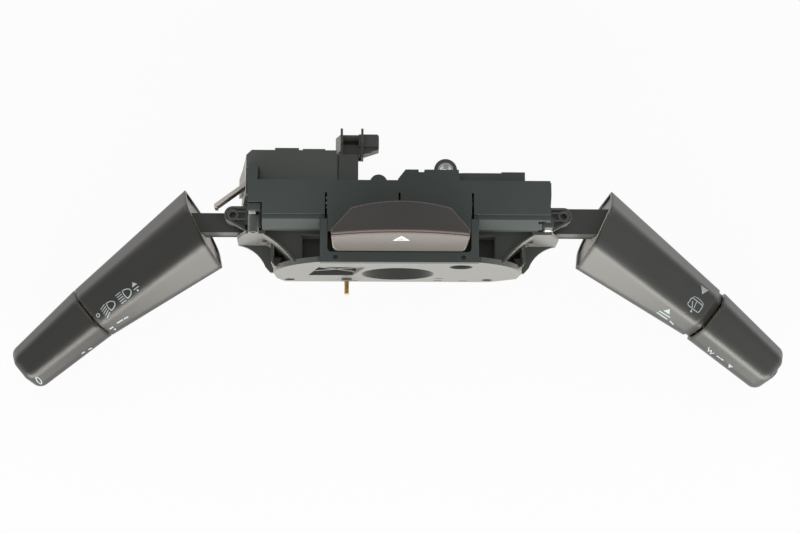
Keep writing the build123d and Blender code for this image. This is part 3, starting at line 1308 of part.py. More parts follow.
def detent_track():
    """Curved track for the plunger, centred on the yoke axle and backed by the case."""
    y0 = HUB_FRONT + DETENT_TRACK_INSET
    y1 = HUB_BACK - DETENT_TRACK_INSET
    outer = block(
        HUB_X + DETENT_TRACK_START, CASE_CORE - CASE_CORE_WALL, y0, y1,
        HUB_Z - DETENT_TRACK_HALF, HUB_Z + DETENT_TRACK_HALF)
    return outer - rod_y(HUB_X, HUB_Z, y0 - CUT, y1 + CUT, DETENT_RADIUS)


# ---- stalks ---------------------------------------------------------------------------------------------
class Stalk:
    """Frames of one stalk, drawn on the left: the casing axis and the knob axis."""

    def __init__(self, side):
        self.side = side
        self.mouth = Vector(-side.mouth_out, side.mouth_y, MOUTH_Z)
        self.axis = self.direction(side.sweep)
        self.knob_axis = self.direction(side.sweep + KNOB_BEND)
        self.joint = self.mouth + self.axis * CASING_LENGTH
        self.knob_start = self.joint + self.knob_axis * (side.neck + KNOB_GAP)

    @staticmethod
    def direction(sweep):
        level = cos(radians(STALK_DROOP))
        x = -level * cos(radians(sweep))
        y = -level * sin(radians(sweep))
        return Vector(x, y, -sin(radians(STALK_DROOP)))

    def plane(self, origin, axis):
        """Plane across an axis: its X points at the driver's side, its Y upwards."""
        across = Vector(0, 0, 1).cross(axis).normalized()
        return Plane(origin=origin, x_dir=across, z_dir=axis)

    def tip_plane(self):
        return self.knob_plane(self.side.knob_length)

    def casing_plane(self, s):
        return self.plane(self.mouth + self.axis * s, self.axis)

    def knob_plane(self, s):
        return self.plane(self.joint + self.knob_axis * s, self.knob_axis)


class Section:
    """Rounded hexagon across a stalk, widest at the height of its axis."""

    def __init__(self, half, flat_rear, flat_front, flat_low, top, bottom, edge_radius, top_radius):
        self.sizes = (half, flat_rear, flat_front, flat_low, top, bottom, edge_radius, top_radius)

    def towards(self, other, share):
        return Section(*(a + (b - a) * share for a, b in zip(self.sizes, other.sizes)))

    def face(self, inset):
        """Face in the plane across the stalk, drawn smaller by a wall."""
        half, flat_rear, flat_front, flat_low, top, bottom, edge_radius, top_radius = self.sizes
        slack = inset / 2
        wire = Polyline(
            (-half + inset, 0),
            (-flat_rear + slack, top - inset),
            (flat_front - slack, top - inset),
            (half - inset, 0),
            (flat_low - slack, inset - bottom),
            (slack - flat_low, inset - bottom),
            close=True,
        )
        outline = make_face(wire)
        edges = [v for v in outline.vertices() if abs(v.Y) < TINY]
        outline = fillet(edges, max(edge_radius - inset, CASING_WALL / 2))
        flats = [v for v in outline.vertices() if self.is_flat_end(v, slack)]
        return fillet(flats, max(top_radius - inset, CASING_WALL / 2))

    def is_flat_end(self, vertex, slack):
        """Whether a vertex is one of the four ends of the flat top and bottom."""
        ends = (slack - self.sizes[1], self.sizes[2] - slack, self.sizes[3] - slack, slack - self.sizes[3])
        return min(abs(vertex.X - x) for x in ends) < TINY


MOUTH_SECTION = Section(
    MOUTH_HALF, MOUTH_FLAT_REAR, MOUTH_FLAT_FRONT, MOUTH_FLAT_LOW, MOUTH_TOP, MOUTH_BOTTOM,
    MOUTH_EDGE_RADIUS, MOUTH_TOP_RADIUS)
JOINT_SECTION = Section(
    JOINT_HALF, JOINT_FLAT_REAR, JOINT_FLAT_FRONT, JOINT_FLAT_LOW, JOINT_TOP, JOINT_BOTTOM,
    JOINT_EDGE_RADIUS, JOINT_TOP_RADIUS)
TIP_SECTION = Section(
    TIP_HALF, TIP_FLAT_REAR, TIP_FLAT_FRONT, TIP_FLAT_LOW, TIP_TOP, TIP_BOTTOM,
    TIP_EDGE_RADIUS, TIP_TOP_RADIUS)


def stalk_loft(frame_at, first, second, length, s0, s1, inset):
    """Straight-sided loft between two stations, extended past them in step."""
    stations = []
    for s in (s0, s1):
        section = first.towards(second, s / length)
        stations.append(frame_at(s) * section.face(inset))
    return loft(stations, ruled=True)


def casing_loft(stalk, s0, s1, inset):
    return stalk_loft(stalk.casing_plane, MOUTH_SECTION, JOINT_SECTION, CASING_LENGTH, s0, s1, inset)


def knob_loft(stalk, s0, s1, inset):
    return stalk_loft(stalk.knob_plane, JOINT_SECTION, TIP_SECTION, stalk.side.knob_length, s0, s1, inset)


def mouth_plane(stalk, offset):
    """Plane of the mouth, skewed in plan from the plane across the casing."""
    normal = stalk.axis.rotate(Axis.Z, -MOUTH_SKEW).normalized()
    return Plane(origin=stalk.mouth + normal * offset, z_dir=normal)


def half_space(plane, depth=HALF_SPACE_DEPTH):
    """Large block on the far side of a plane."""
    return plane * Pos(0, 0, depth / 2) * Box(HALF_SPACE, HALF_SPACE, depth)


def casing(stalk):
    """Hollow casing with a slanted mouth and a bulkhead that carries the knob shaft."""
    outer = casing_loft(stalk, -CASING_LEAD, CASING_LENGTH + CASING_PAST, 0)
    inner = casing_loft(stalk, -CASING_LEAD - CUT, CASING_LENGTH - BULKHEAD, CASING_WALL)
    body = (outer - inner) & half_space(mouth_plane(stalk, 0))
    body = body - half_space(stalk.knob_plane(0))
    if stalk.side.neck:
        body = body + knob_loft(stalk, -SINK, stalk.side.neck, CASING_NECK_INSET)
    start = stalk.knob_plane(-BULKHEAD_BORE).origin
    bore = rod(start, stalk.knob_axis, 2 * BULKHEAD_BORE, SHAFT_RADIUS + RUNNING_FIT)
    return body - bore


def lever_arm(stalk):
    """Lever core: inner tongue, pivot boss and the beam that runs up the casing."""
    mouth_x = -stalk.side.mouth_out
    back = stalk.side.arm_back
    tongue = block(mouth_x - ARM_REACH, ARM_INNER_X, ARM_FRONT, back, ARM_BOTTOM, ARM_TOP)
    flange = block(
        mouth_x - ARM_FLANGE_START, PIVOT_X + ARM_FLANGE_REACH, ARM_FRONT - ARM_FLANGE_OUT, back,
        ARM_BOTTOM - ARM_FLANGE, ARM_BOTTOM)
    inset = EAR_PLATE + MOVING_GAP
    boss = rod_z(PIVOT_X, PIVOT_Y, EAR_BOTTOM + inset, EAR_TOP - inset, ARM_BOSS)
    beam_plane = stalk.casing_plane(BEAM_START)
    length = CASING_LENGTH - BULKHEAD - BEAM_START - SEAT_GAP
    beam = beam_plane * Pos(0, 0, length / 2) * Box(BEAM_WIDTH, BEAM_HEIGHT, length)
    arm = tongue + flange + boss + beam
    arm = arm - rod_z(PIVOT_X, PIVOT_Y, EAR_BOTTOM - CUT, EAR_TOP + CUT, PIN_RADIUS + RUNNING_FIT)
    start = stalk.knob_plane(-SHAFT_TAIL - CUT).origin
    bore = rod(start, stalk.knob_axis, SHAFT_TAIL + SHAFT_BORE_PAST, SHAFT_RADIUS + RUNNING_FIT)
    return arm - bore


def end_plate(stalk):
    """Plate that closes the casing mouth round the lever, a little inside its rim."""
    filling = casing_loft(stalk, -CASING_LEAD - CUT, CASING_LENGTH - BULKHEAD, CASING_WALL)
    plate = filling & half_space(mouth_plane(stalk, CASING_RIM), END_PLATE)
    side = stalk.side
    gap = SEAT_GAP
    tongue_room = block(
        -side.mouth_out - PLATE_SLOT_DEPTH, ARM_INNER_X, ARM_FRONT - ARM_FLANGE_OUT - gap, side.arm_back + gap,
        ARM_BOTTOM - ARM_FLANGE - gap, ARM_TOP + gap)
    return plate - tongue_room


def knob(stalk):
    """Hollow rotary knob with a rounded tip and a boss for its shaft."""
    start = stalk.side.neck + KNOB_GAP
    length = stalk.side.knob_length
    growth = stalk.side.knob_growth
    outer = knob_loft(stalk, start, length, -growth)
    far = stalk.tip_plane()
    tip_face = outer.faces().sort_by(Axis(far.origin, stalk.knob_axis))[-1]
    outer = fillet(tip_face.edges(), TIP_ROUND)
    inner = knob_loft(stalk, start - CUT, length - KNOB_TIP_WALL, KNOB_WALL - growth)
    body = outer - inner
    boss_start = start + KNOB_BOSS_START
    boss_length = length - KNOB_BOSS_END - boss_start
    boss = rod(stalk.knob_plane(boss_start).origin, stalk.knob_axis, boss_length, KNOB_BOSS)
    body = body + boss
    bore_end = SHAFT_NOSE + start
    bore_root = stalk.knob_plane(boss_start - CUT).origin
    bore = rod(bore_root, stalk.knob_axis, bore_end - boss_start + CUT, SHAFT_RADIUS)
    body = body - bore
    if stalk.side.is_right:
        body = body - end_button_room(stalk)
    return body


def knob_shaft(stalk):
    """Shaft that carries the knob and turns in the lever beam and the bulkhead."""
    length = SHAFT_TAIL + SHAFT_NOSE + stalk.side.neck + KNOB_GAP
    return rod(stalk.knob_plane(-SHAFT_TAIL).origin, stalk.knob_axis, length, SHAFT_RADIUS)


def contact_disc(stalk):
    """Contact disc on the shaft inside the knob."""
    start = stalk.side.neck + MOVING_GAP
    disc = rod(stalk.knob_plane(start).origin, stalk.knob_axis, DISC_THICK, DISC_RADIUS)
    return disc - rod(stalk.knob_plane(start - CUT).origin, stalk.knob_axis, DISC_THICK + 2 * CUT, SHAFT_RADIUS)


def end_button(stalk):
    """Push button in the tip of the right knob, held by a collar at its root."""
    start = stalk.side.knob_length + END_BUTTON_OUT - END_BUTTON_LENGTH
    root = stalk.knob_plane(start).origin
    body = rod(root, stalk.knob_axis, END_BUTTON_LENGTH, END_BUTTON_RADIUS)
    along = Axis(stalk.knob_plane(0).origin, stalk.knob_axis)
    far = body.edges().filter_by(GeomType.CIRCLE).sort_by(along)[-1]
    collar = rod(root, stalk.knob_axis, END_COLLAR_THICK, END_BUTTON_RADIUS + END_COLLAR)
    return fillet(far, END_BUTTON_ROUND) + collar


def end_button_room(stalk):
    """Stepped bore in the knob tip for the button, its collar and its spring."""
    start = stalk.side.knob_length + END_BUTTON_OUT - END_BUTTON_LENGTH - END_SPRING
    root = stalk.knob_plane(start).origin
    wide = rod(root, stalk.knob_axis, END_SPRING + END_COLLAR_THICK + RUNNING_FIT,
               END_BUTTON_RADIUS + END_COLLAR + MOVING_GAP)
    return wide + rod(root, stalk.knob_axis, END_BUTTON_LENGTH * 2, END_BUTTON_RADIUS + RUNNING_FIT)


def end_button_spring(stalk):
    start = stalk.side.knob_length + END_BUTTON_OUT - END_BUTTON_LENGTH - END_SPRING
    root = stalk.knob_plane(start).origin
    return coil(root, stalk.knob_axis, END_SPRING, END_BUTTON_RADIUS / 2, END_SPRING_WIRE, END_SPRING_TURNS)


def ribbon_band(margin):
    """Straight run and short tail of the ribbon, thicker all round by a margin."""
    run = Vector(RIBBON_BEND_X - RIBBON_ROOT_X, RIBBON_BEND_Y - RIBBON_ROOT_Y, 0).normalized()
    across = Vector(-run.Y, run.X, 0)
    root = Vector(RIBBON_ROOT_X, RIBBON_ROOT_Y, 0) - run * margin
    bend = Vector(RIBBON_BEND_X, RIBBON_BEND_Y, 0)
    near = across * -margin
    far = across * (RIBBON_THICK + margin)
    tail = bend + Vector(0, -RIBBON_TAIL, 0)
    wire = Polyline(
        *[(p.X, p.Y) for p in (
            root + near, bend + near, tail + near, tail + near + Vector(RIBBON_THICK + 2 * margin, 0, 0),
            bend + far, root + far)],
        close=True,
    )
    return plan_outline(wire, RIBBON_TOP - RIBBON_HEIGHT - margin, RIBBON_TOP + margin)


def ribbon_cable():
    """Flat cable on edge, from the connector block to the back of the left lever."""
    return ribbon_band(0)


# ---- hardware ---------------------------------------------------------------------------------------------
def case_screws():
    """Two bright screws along Y that hold the switch cases to the carrier."""
    screws = []
    for x, y in ((HEAD_X_LEFT, HEAD_LEFT_Y), (HEAD_X_RIGHT, HEAD_RIGHT_Y)):
        head = rod_y(x, HEAD_Z, y, y + HEAD_THICK, HEAD_RADIUS)
        screws.append(head + rod_y(x, HEAD_Z, y, y + HEAD_THICK + SHANK_LENGTH - CUT, SHANK_RADIUS))
    return Compound(children=screws)


def circuit_board():
    """Board under the cover that joins both switch modules to the plugs."""
    return block(-BOARD_HALF, BOARD_HALF, BOARD_FRONT, BOARD_BACK, BOARD_Z, BOARD_Z + BOARD_THICK)


if __name__ == "__main__":
    os.makedirs("parts", exist_ok=True)
    pieces = {
        "base_frame": base_frame,
        "top_cover": top_cover,
        "hazard_frame": hazard_frame,
        "connector_block": connector_block,
        "connector_terminals": connector_terminals,
        "loom_clip": loom_clip,
        "lug_bush": lug_bush,
        "hazard_button": hazard_button,
        "hazard_lens": hazard_lens,
        "hazard_cap": hazard_cap,
        "hazard_springs": hazard_springs,
        "horn_sleeve": horn_sleeve,
        "horn_pin": horn_pin,
        "horn_pin_spring": horn_pin_spring,
        "cancel_pawl": cancel_pawl,
        "cancel_pin": cancel_pin,
        "case_screws": case_screws,
        "left_switch_case": left_switch_case,
        "right_switch_case": right_switch_case,
        "circuit_board": circuit_board,
        "left_ribbon_cable": ribbon_cable,
    }
    for side in (LEFT, RIGHT):
        stalk = Stalk(side)
        arm = lever_arm(stalk)
        pieces[f"{side.name}_yoke"] = lambda side=side: on_side(yoke(), side)
        pieces[f"{side.name}_yoke_axle"] = lambda side=side: on_side(yoke_axle(), side)
        pieces[f"{side.name}_pivot_pin"] = lambda side=side: on_side(pivot_pin(), side)
        pieces[f"{side.name}_detent_plunger"] = lambda side=side: on_side(detent_plunger(), side)
        pieces[f"{side.name}_detent_spring"] = lambda side=side: on_side(detent_spring(), side)
        pieces[f"{side.name}_detent_track"] = lambda side=side: on_side(detent_track(), side)
        pieces[f"{side.name}_lever_arm"] = lambda side=side, arm=arm: on_side(arm, side)
        pieces[f"{side.name}_casing"] = lambda side=side, stalk=stalk: on_side(casing(stalk), side)
        pieces[f"{side.name}_end_plate"] = lambda side=side, stalk=stalk: on_side(end_plate(stalk), side)
        pieces[f"{side.name}_knob"] = lambda side=side, stalk=stalk: on_side(knob(stalk), side)
        pieces[f"{side.name}_knob_shaft"] = lambda side=side, stalk=stalk: on_side(knob_shaft(stalk), side)
        pieces[f"{side.name}_contact_disc"] = (
            lambda side=side, stalk=stalk: on_side(contact_disc(stalk), side))
    pieces["right_end_button"] = lambda: on_side(end_button(Stalk(RIGHT)), RIGHT)
    pieces["right_end_button_spring"] = lambda: on_side(end_button_spring(Stalk(RIGHT)), RIGHT)
    for name, make in pieces.items():
        shape = make()
        print(name, len(shape.solids()), round(shape.volume))
        export_step(shape, f"parts/{name}.step")
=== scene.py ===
"""Combination stalk switch: finishes, printed symbols, fasteners and studio around the frame."""

import math

import bpy
from mathutils import Matrix, Vector


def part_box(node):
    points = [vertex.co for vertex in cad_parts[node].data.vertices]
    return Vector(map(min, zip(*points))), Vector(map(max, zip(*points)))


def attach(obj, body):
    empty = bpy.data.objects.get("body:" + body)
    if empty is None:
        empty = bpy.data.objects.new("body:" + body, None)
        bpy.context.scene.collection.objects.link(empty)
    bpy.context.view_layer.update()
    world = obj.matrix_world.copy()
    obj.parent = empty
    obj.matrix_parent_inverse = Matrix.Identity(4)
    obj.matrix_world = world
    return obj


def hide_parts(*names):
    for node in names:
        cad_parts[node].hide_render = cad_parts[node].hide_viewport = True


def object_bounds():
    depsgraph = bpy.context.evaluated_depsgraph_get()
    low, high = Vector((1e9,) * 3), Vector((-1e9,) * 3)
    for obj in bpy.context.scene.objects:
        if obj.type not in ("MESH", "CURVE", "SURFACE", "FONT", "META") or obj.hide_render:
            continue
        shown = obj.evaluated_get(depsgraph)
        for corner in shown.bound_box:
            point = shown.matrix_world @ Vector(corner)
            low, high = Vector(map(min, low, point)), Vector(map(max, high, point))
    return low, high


bl_info = {
    "name": "Combination Stalk Switch",
    "version": (1, 0, 0),
    "blender": (4, 5, 0),
    "location": "View3D > Sidebar > Stalk Switch",
    "description": "Finishes, prints and studio for a steering column stalk switch",
    "category": "Object",
}

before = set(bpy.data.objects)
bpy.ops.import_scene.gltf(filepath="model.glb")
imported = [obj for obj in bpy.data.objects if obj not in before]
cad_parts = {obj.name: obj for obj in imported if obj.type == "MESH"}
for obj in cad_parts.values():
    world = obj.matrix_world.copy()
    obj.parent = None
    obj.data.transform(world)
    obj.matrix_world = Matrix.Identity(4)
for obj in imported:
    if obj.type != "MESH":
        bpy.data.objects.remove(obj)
REST_BOUNDS = [list(corner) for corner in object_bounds()]
MM = 0.001

# Axes of the stalks, as the frame has them: millimetres and degrees.
DROOP = 9.0
CASING_LENGTH = 66.0
KNOB_BEND = 4.1
LEFT_MOUTH = (-92.9, 20.1, 6.0)
LEFT_SWEEP = 36.1
RIGHT_MOUTH = (94.3, 20.5, 6.0)
RIGHT_SWEEP = 35.4

# CAD nodes that share a finish.
CARRIER = ("base_frame", "loom_clip", "left_yoke", "right_yoke")
COVER = ("top_cover", "hazard_frame", "left_switch_case", "right_switch_case")
INNER = (
    "left_detent_track", "right_detent_track", "left_detent_plunger", "right_detent_plunger",
    "cancel_pawl", "horn_sleeve")
STEEL = (
    "lug_bush", "hazard_springs", "horn_pin_spring", "cancel_pin", "left_yoke_axle",
    "right_yoke_axle", "left_detent_spring", "right_detent_spring", "left_knob_shaft",
    "right_knob_shaft", "right_end_button_spring")
BRASS = ("horn_pin", "connector_terminals", "left_contact_disc", "right_contact_disc")


# ---- shader maths -------------------------------------------------------------------------
# Sockets of the Mix node that carry colours: they share their names with those for numbers.
MIX_FIRST = 6
MIX_SECOND = 7
MIX_RESULT = 2

# How fast a rounded normal turns into edge wear with a painted edge highlight, and how many rays look round
# an edge for it.
EDGE_WEAR_AND_HIGHLIGHT_SPREAD = 3.0
EDGE_SAMPLES = 4


class Value:
    """An output of a shader node: sums written on it become Math nodes."""

    def __init__(self, graph, socket):
        self.graph = graph
        self.socket = socket

    def _math(self, operation, *values):
        return self.graph.value("ShaderNodeMath", {"operation": operation}, dict(enumerate(values)))

    def __add__(self, other):
        return self._math("ADD", self, other)

    __radd__ = __add__

    def __sub__(self, other):
        return self._math("SUBTRACT", self, other)

    def __rsub__(self, other):
        return self._math("SUBTRACT", other, self)

    def __mul__(self, other):
        return self._math("MULTIPLY", self, other)

    __rmul__ = __mul__

    def __truediv__(self, other):
        return self._math("DIVIDE", self, other)

    def __rtruediv__(self, other):
        return self._math("DIVIDE", other, self)

    def __lt__(self, other):
        return self._math("LESS_THAN", self, other)

    def __gt__(self, other):
        return self._math("GREATER_THAN", self, other)

    def at_least(self, low):
        """This value, or a limit where it falls under it."""
        return self._math("MAXIMUM", self, low)

    def clamped(self):
        """This value held between 0 and 1."""
        return self._math("MINIMUM", self.at_least(0.0), 1.0)

    def centred(self):
        """A value between 0 and 1, counted from its middle."""
        return self - 0.5

    def wave(self, pitch):
        """Ridges between 0 and 1 that repeat at a pitch."""
        return self._math("PINGPONG", self / pitch * 2, 1.0)


class Graph:
    """The node tree of a material or of the world."""

    def __init__(self, owner):
        owner.use_nodes = True
        self.owner = owner
        self.tree = owner.node_tree
        self.tree.nodes.clear()

    def add(self, kind, settings=None, inputs=None):
        """Any node: its settings first, then the values or links of its sockets."""
        node = self.tree.nodes.new(kind)
        for name, value in (settings or {}).items():
            setattr(node, name, value)
        for key, value in (inputs or {}).items():
            socket = node.inputs[key]
            if isinstance(value, Value):
                self.tree.links.new(value.socket, socket)
            elif socket.type == "RGBA":
                socket.default_value = (*value, 1.0)
            else:
                socket.default_value = value
        return node

    def value(self, kind, settings=None, inputs=None, output=0):
        """One output of a new node, ready for more maths."""
        return Value(self, self.add(kind, settings, inputs).outputs[output])

    def place(self):
        """Where a point lies in the frame, in metres."""
        return self.value("ShaderNodeTexCoord", output="Object")

    def axes(self, place):
        """The three coordinates of a place."""
        node = self.add("ShaderNodeSeparateXYZ", None, {0: place})
        return [Value(self, socket) for socket in node.outputs]

    def along(self, place, direction):
        """How far a place lies along a direction."""
        inputs = {0: place, 1: direction}
        return self.value("ShaderNodeVectorMath", {"operation": "DOT_PRODUCT"}, inputs, "Value")

    def noise(self, place, size, detail=2.0):
        """Noise between 0 and 1 whose blobs are about a given size across, in metres."""
        inputs = {"Vector": place, "Scale": 1.0 / (2.0 * size), "Detail": detail}
        return self.value("ShaderNodeTexNoise", None, inputs)

    def mix(self, share, first, second):
        """Blend of two colours."""
        inputs = {"Factor": share, MIX_FIRST: first, MIX_SECOND: second}
        return self.value("ShaderNodeMix", {"data_type": "RGBA"}, inputs, MIX_RESULT)

    def bump(self, height, depth, normal=None):
        """Normal pushed by a height between 0 and 1, over a depth in metres."""
        inputs = {"Height": height, "Distance": depth, "Strength": 1.0}
        if normal:
            inputs["Normal"] = normal
        return self.value("ShaderNodeBump", None, inputs)

    def rounded(self, radius):
        """Normal that rounds sharp edges off by a radius in metres."""
        return self.value("ShaderNodeBevel", {"samples": EDGE_SAMPLES}, {"Radius": radius})

    def edge_wear_and_highlight(self, rounded):
        """Share of edge wear and painted edge highlight where a rounded normal leaves the true one."""
        true = self.value("ShaderNodeNewGeometry", output="True Normal")
        return ((1 - self.along(rounded, true)) * EDGE_WEAR_AND_HIGHLIGHT_SPREAD).clamped()

    def ray(self, kind):
        """1 for a kind of ray, such as Camera, and 0 for the others."""
        return self.value("ShaderNodeLightPath", output=f"Is {kind} Ray")

    def finish(self, **inputs):
        """Closes the tree with a Principled shader and gives the material back."""
        named = {key.replace("_", " "): value for key, value in inputs.items()}
        shader = self.value("ShaderNodeBsdfPrincipled", None, named)
        self.add("ShaderNodeOutputMaterial", None, {"Surface": shader})
        return self.owner


def new_material(name):
    """Empty node tree of a new material."""
    return Graph(bpy.data.materials.new(name))


def scaled(colour, share):
    """Colour made darker or lighter, and never past white."""
    return tuple(min(1.0, part * share) for part in colour)


# ---- finishes -----------------------------------------------------------------------------
# Tints: plain white, the gloss of the plastics and the dust on them.
WHITE = (1.0, 1.0, 1.0)
WARM = (1.0, 0.96, 0.89)
DUST = (1.0, 0.93, 0.82)

# Moulded plastic. Here and below, sizes are in metres, and the rest are shares of a colour, a height
# or a roughness.
SHARP_EDGE = 0.3 * MM
BUTTON_EDGE = 0.8 * MM
STALK_EDGE = 3.0 * MM
GRAIN_DEPTH = 0.02 * MM
FINE_GRAIN = 0.4 * MM
FINE_DEPTH = 0.01 * MM
LENS_DEPTH = 0.005 * MM
STALK_GRAIN = 0.7
GRAIN_DETAIL = 3.0
CLOUD_SIZE = 16 * MM
CLOUD_DARK = 0.84
CLOUD_LIGHT = 1.16
CLOUD_SWING = 0.08
# Pale edges: partly wear, partly a painted edge highlight.
EDGE_WEAR_AND_HIGHLIGHT_GAIN = 1.8
EDGE_WEAR_AND_HIGHLIGHT_LIFT = 0.02
RUBBED_GLOSS = 0.06
DUST_ROUGHNESS = 0.5
# Painted shade in the grooves between ridges, as a share of the colour; then the ridges' bump height.
GROOVE_PAINTED_SHADE = 0.4
RIDGE_HEIGHT = 4.0
RIDGE_PITCH = 1.1 * MM
INNER_COLOUR = (0.09, 0.09, 0.088)
LEVER_COLOUR = (0.037, 0.042, 0.041)
# End plates: their own dark colour lightened by a painted grazing reflection.
PLATE_COLOUR_WITH_PAINTED_REFLECTION = (0.24, 0.235, 0.225)
END_BUTTON_COLOUR = (0.030, 0.031, 0.031)
CAP_COLOUR = (0.047, 0.043, 0.042)
BUTTON_COLOUR = (0.055, 0.050, 0.045)
RED_LAYER = (0.085, 0.022, 0.018)

# Metal.
MARK_SIZE = 0.5 * MM
MARK_DETAIL = 4.0
MARK_SWING = 0.2
MARK_DEPTH = 0.01 * MM
TARNISH_SIZE = 3 * MM
TARNISH_SHADE = 0.82
METAL_EDGE = 0.15 * MM
STEEL_COLOUR = (0.62, 0.62, 0.61)
DARK_PIN_COLOUR = (0.09, 0.09, 0.09)
BRASS_COLOUR = (0.72, 0.52, 0.22)
SCREW_COLOUR = (0.85, 0.85, 0.83)

# Paint of the prints.
PAINT_SPECK = 0.25 * MM
PAINT_DETAIL = 4.0
PAINT_GAIN = 2.0
PAINT_CUT = 0.8
PAINT_SHADE = 0.82
PAINT_ROUGHNESS = 0.5
PAINT_SWING = 0.2

# Ribbon cable.
WIRE_PITCH = 1.0 * MM
WIRE_DEPTH = 0.15 * MM
JACKET_WEAR = 2 * MM
JACKET_DETAIL = 3.0
JACKET_SHADE = 0.85
JACKET_ROUGHNESS = 0.38
JACKET_SWING = 0.1
JACKET_COLOUR = (0.62, 0.59, 0.53)
# Dark wires: painted shade makes their grooves darker than their crests.
WIRE_GROOVE_WITH_PAINTED_SHADE = (0.035, 0.025, 0.02)
WIRE_CREST = (0.10, 0.075, 0.06)

# Circuit board.
TRACE_SIZE = 4 * MM
TRACE_BENDS = 6.0
TRACE_CUT = 0.72
PAD_PITCH = 5 * MM
PAD_REACH = 0.03
BOARD_DEPTH = 0.03 * MM
BOARD_ROUGHNESS = 0.35
PAD_METAL = 0.9
PAD_GLOSS = 0.1
MASK_COLOUR = (0.008, 0.045, 0.022)
TRACE_COLOUR = (0.012, 0.075, 0.035)
PAD_COLOUR = (0.62, 0.62, 0.6)


def moulded(name, colour, roughness, grain, depth=GRAIN_DEPTH, edge=SHARP_EDGE, wear_and_highlight=0.5, dust=0.5,
            index=1.5, speck=0.12, ridges=None):
    """Moulded plastic with a fine spark-eroded grain, faint clouds and rubbed edges, whose pale colour is
    partly wear and partly a painted highlight.
    """
    graph = new_material(name)
    place = graph.place()
    fine = graph.noise(place, grain, GRAIN_DETAIL)
    cloud = graph.noise(place, CLOUD_SIZE, GRAIN_DETAIL)
    rounded = graph.rounded(edge)
    edge_wear_and_highlight = graph.edge_wear_and_highlight(rounded)
    base = graph.mix(cloud, scaled(colour, CLOUD_DARK), scaled(colour, CLOUD_LIGHT))
    pale = tuple(min(1.0, part * EDGE_WEAR_AND_HIGHLIGHT_GAIN + EDGE_WEAR_AND_HIGHLIGHT_LIFT) for part in colour)
    # Edges painted paler: partly wear, partly a painted highlight.
    base = graph.mix(edge_wear_and_highlight * wear_and_highlight, base, pale)
    height = fine
    if ridges:
        direction, pitch = ridges
        ridge = graph.along(place, direction).wave(pitch)
        # The grooves are darkened: painted shade.
        base = graph.mix(ridge, scaled(colour, GROOVE_PAINTED_SHADE), base)
        height = fine + ridge * RIDGE_HEIGHT
    rough = roughness + fine.centred() * speck + cloud.centred() * CLOUD_SWING - edge_wear_and_highlight * RUBBED_GLOSS
    return graph.finish(
        Base_Color=base, Roughness=rough, Specular_Tint=WARM, IOR=index,
        Sheen_Weight=dust, Sheen_Roughness=DUST_ROUGHNESS, Sheen_Tint=DUST,
        Normal=graph.bump(height, depth, rounded))


def plated(name, colour, roughness):
    """Plated or turned metal with faint tool marks."""
    graph = new_material(name)
    place = graph.place()
    marks = graph.noise(place, MARK_SIZE, MARK_DETAIL)
    cloud = graph.noise(place, TARNISH_SIZE)
    return graph.finish(
        Base_Color=graph.mix(cloud, scaled(colour, TARNISH_SHADE), colour), Metallic=1.0,
        Roughness=roughness + marks.centred() * MARK_SWING,
        Normal=graph.bump(marks, MARK_DEPTH, graph.rounded(METAL_EDGE)))


def printed(name, colour):
    """Thin pad-printed paint, a little worn."""
    graph = new_material(name)
    speck = graph.noise(graph.place(), PAINT_SPECK, PAINT_DETAIL)
    full = (speck * PAINT_GAIN - PAINT_CUT).clamped()
    return graph.finish(
        Base_Color=graph.mix(full, scaled(colour, PAINT_SHADE), colour),
        Roughness=PAINT_ROUGHNESS + speck.centred() * PAINT_SWING)


def cable_jacket(name, colour, top, pitch):
    """Ribbon of insulated wires side by side, dark below its top wire."""
    graph = new_material(name)
    place = graph.place()
    height = graph.axes(place)[2]
    wire = height.wave(pitch)
    worn = graph.noise(place, JACKET_WEAR, JACKET_DETAIL)
    pale = graph.mix(worn, scaled(colour, JACKET_SHADE), colour)
    # Painted shade darkens the grooves between the dark wires.
    dark = graph.mix(wire, WIRE_GROOVE_WITH_PAINTED_SHADE, WIRE_CREST)
    return graph.finish(
        Base_Color=graph.mix(height < top - pitch, pale, dark),
        Roughness=JACKET_ROUGHNESS + worn * JACKET_SWING, Normal=graph.bump(wire, WIRE_DEPTH))


def coated_board(name):
    """Solder-masked board with buried traces and tinned pads."""
    graph = new_material(name)
    place = graph.place()
    x, y, _ = graph.axes(place)
    trace = (graph.noise(place, TRACE_SIZE, 0.0) * TRACE_BENDS).wave(1.0) > TRACE_CUT
    across = x.wave(PAD_PITCH).centred()
    away = y.wave(PAD_PITCH).centred()
    pad = across * across + away * away < PAD_REACH
    mask = graph.mix(trace, MASK_COLOUR, TRACE_COLOUR)
    return graph.finish(
        Base_Color=graph.mix(pad, mask, PAD_COLOUR), Metallic=pad * PAD_METAL,
        Roughness=BOARD_ROUGHNESS - pad * PAD_GLOSS,
        Normal=graph.bump(trace + pad, BOARD_DEPTH))


def dress(material, *names):
    """Gives CAD nodes a material."""
    for name in names:
        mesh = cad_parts[name].data
        mesh.materials.clear()
        mesh.materials.append(material)


# ---- flat shapes for prints, in millimetres: X to the driver's right, Y away from the driver --------
# A print starts this far above its surface, and ends as paint this far off it and this thick.
PRINT_DROP = 25.0
PRINT_LIFT = 0.02
PRINT_THICK = 0.06

# Sides of a half turn, of a quarter turn and of a small disc.
DOME_STEPS = 12
CORNER_STEPS = 4
DOT_SIDES = 12

# The headlamp's flat back, and where its rays start and end, in millimetres from its centre.
LAMP_BACK = 0.35
RAY_START = 1.0
RAY_END = 3.6

# Shares of the headlamp's half height, then of a ray's fall and of the line width.
LAMP_BACK_HALF = 0.4
RAY_TOP = 0.95
RAY_SPAN = 1.95
RAY_FAN = 0.12
RAY_WIDTH = 0.9


def deselect():
    """Leaves nothing selected, so that an operator acts on its own piece alone."""
    bpy.ops.object.select_all(action="DESELECT")


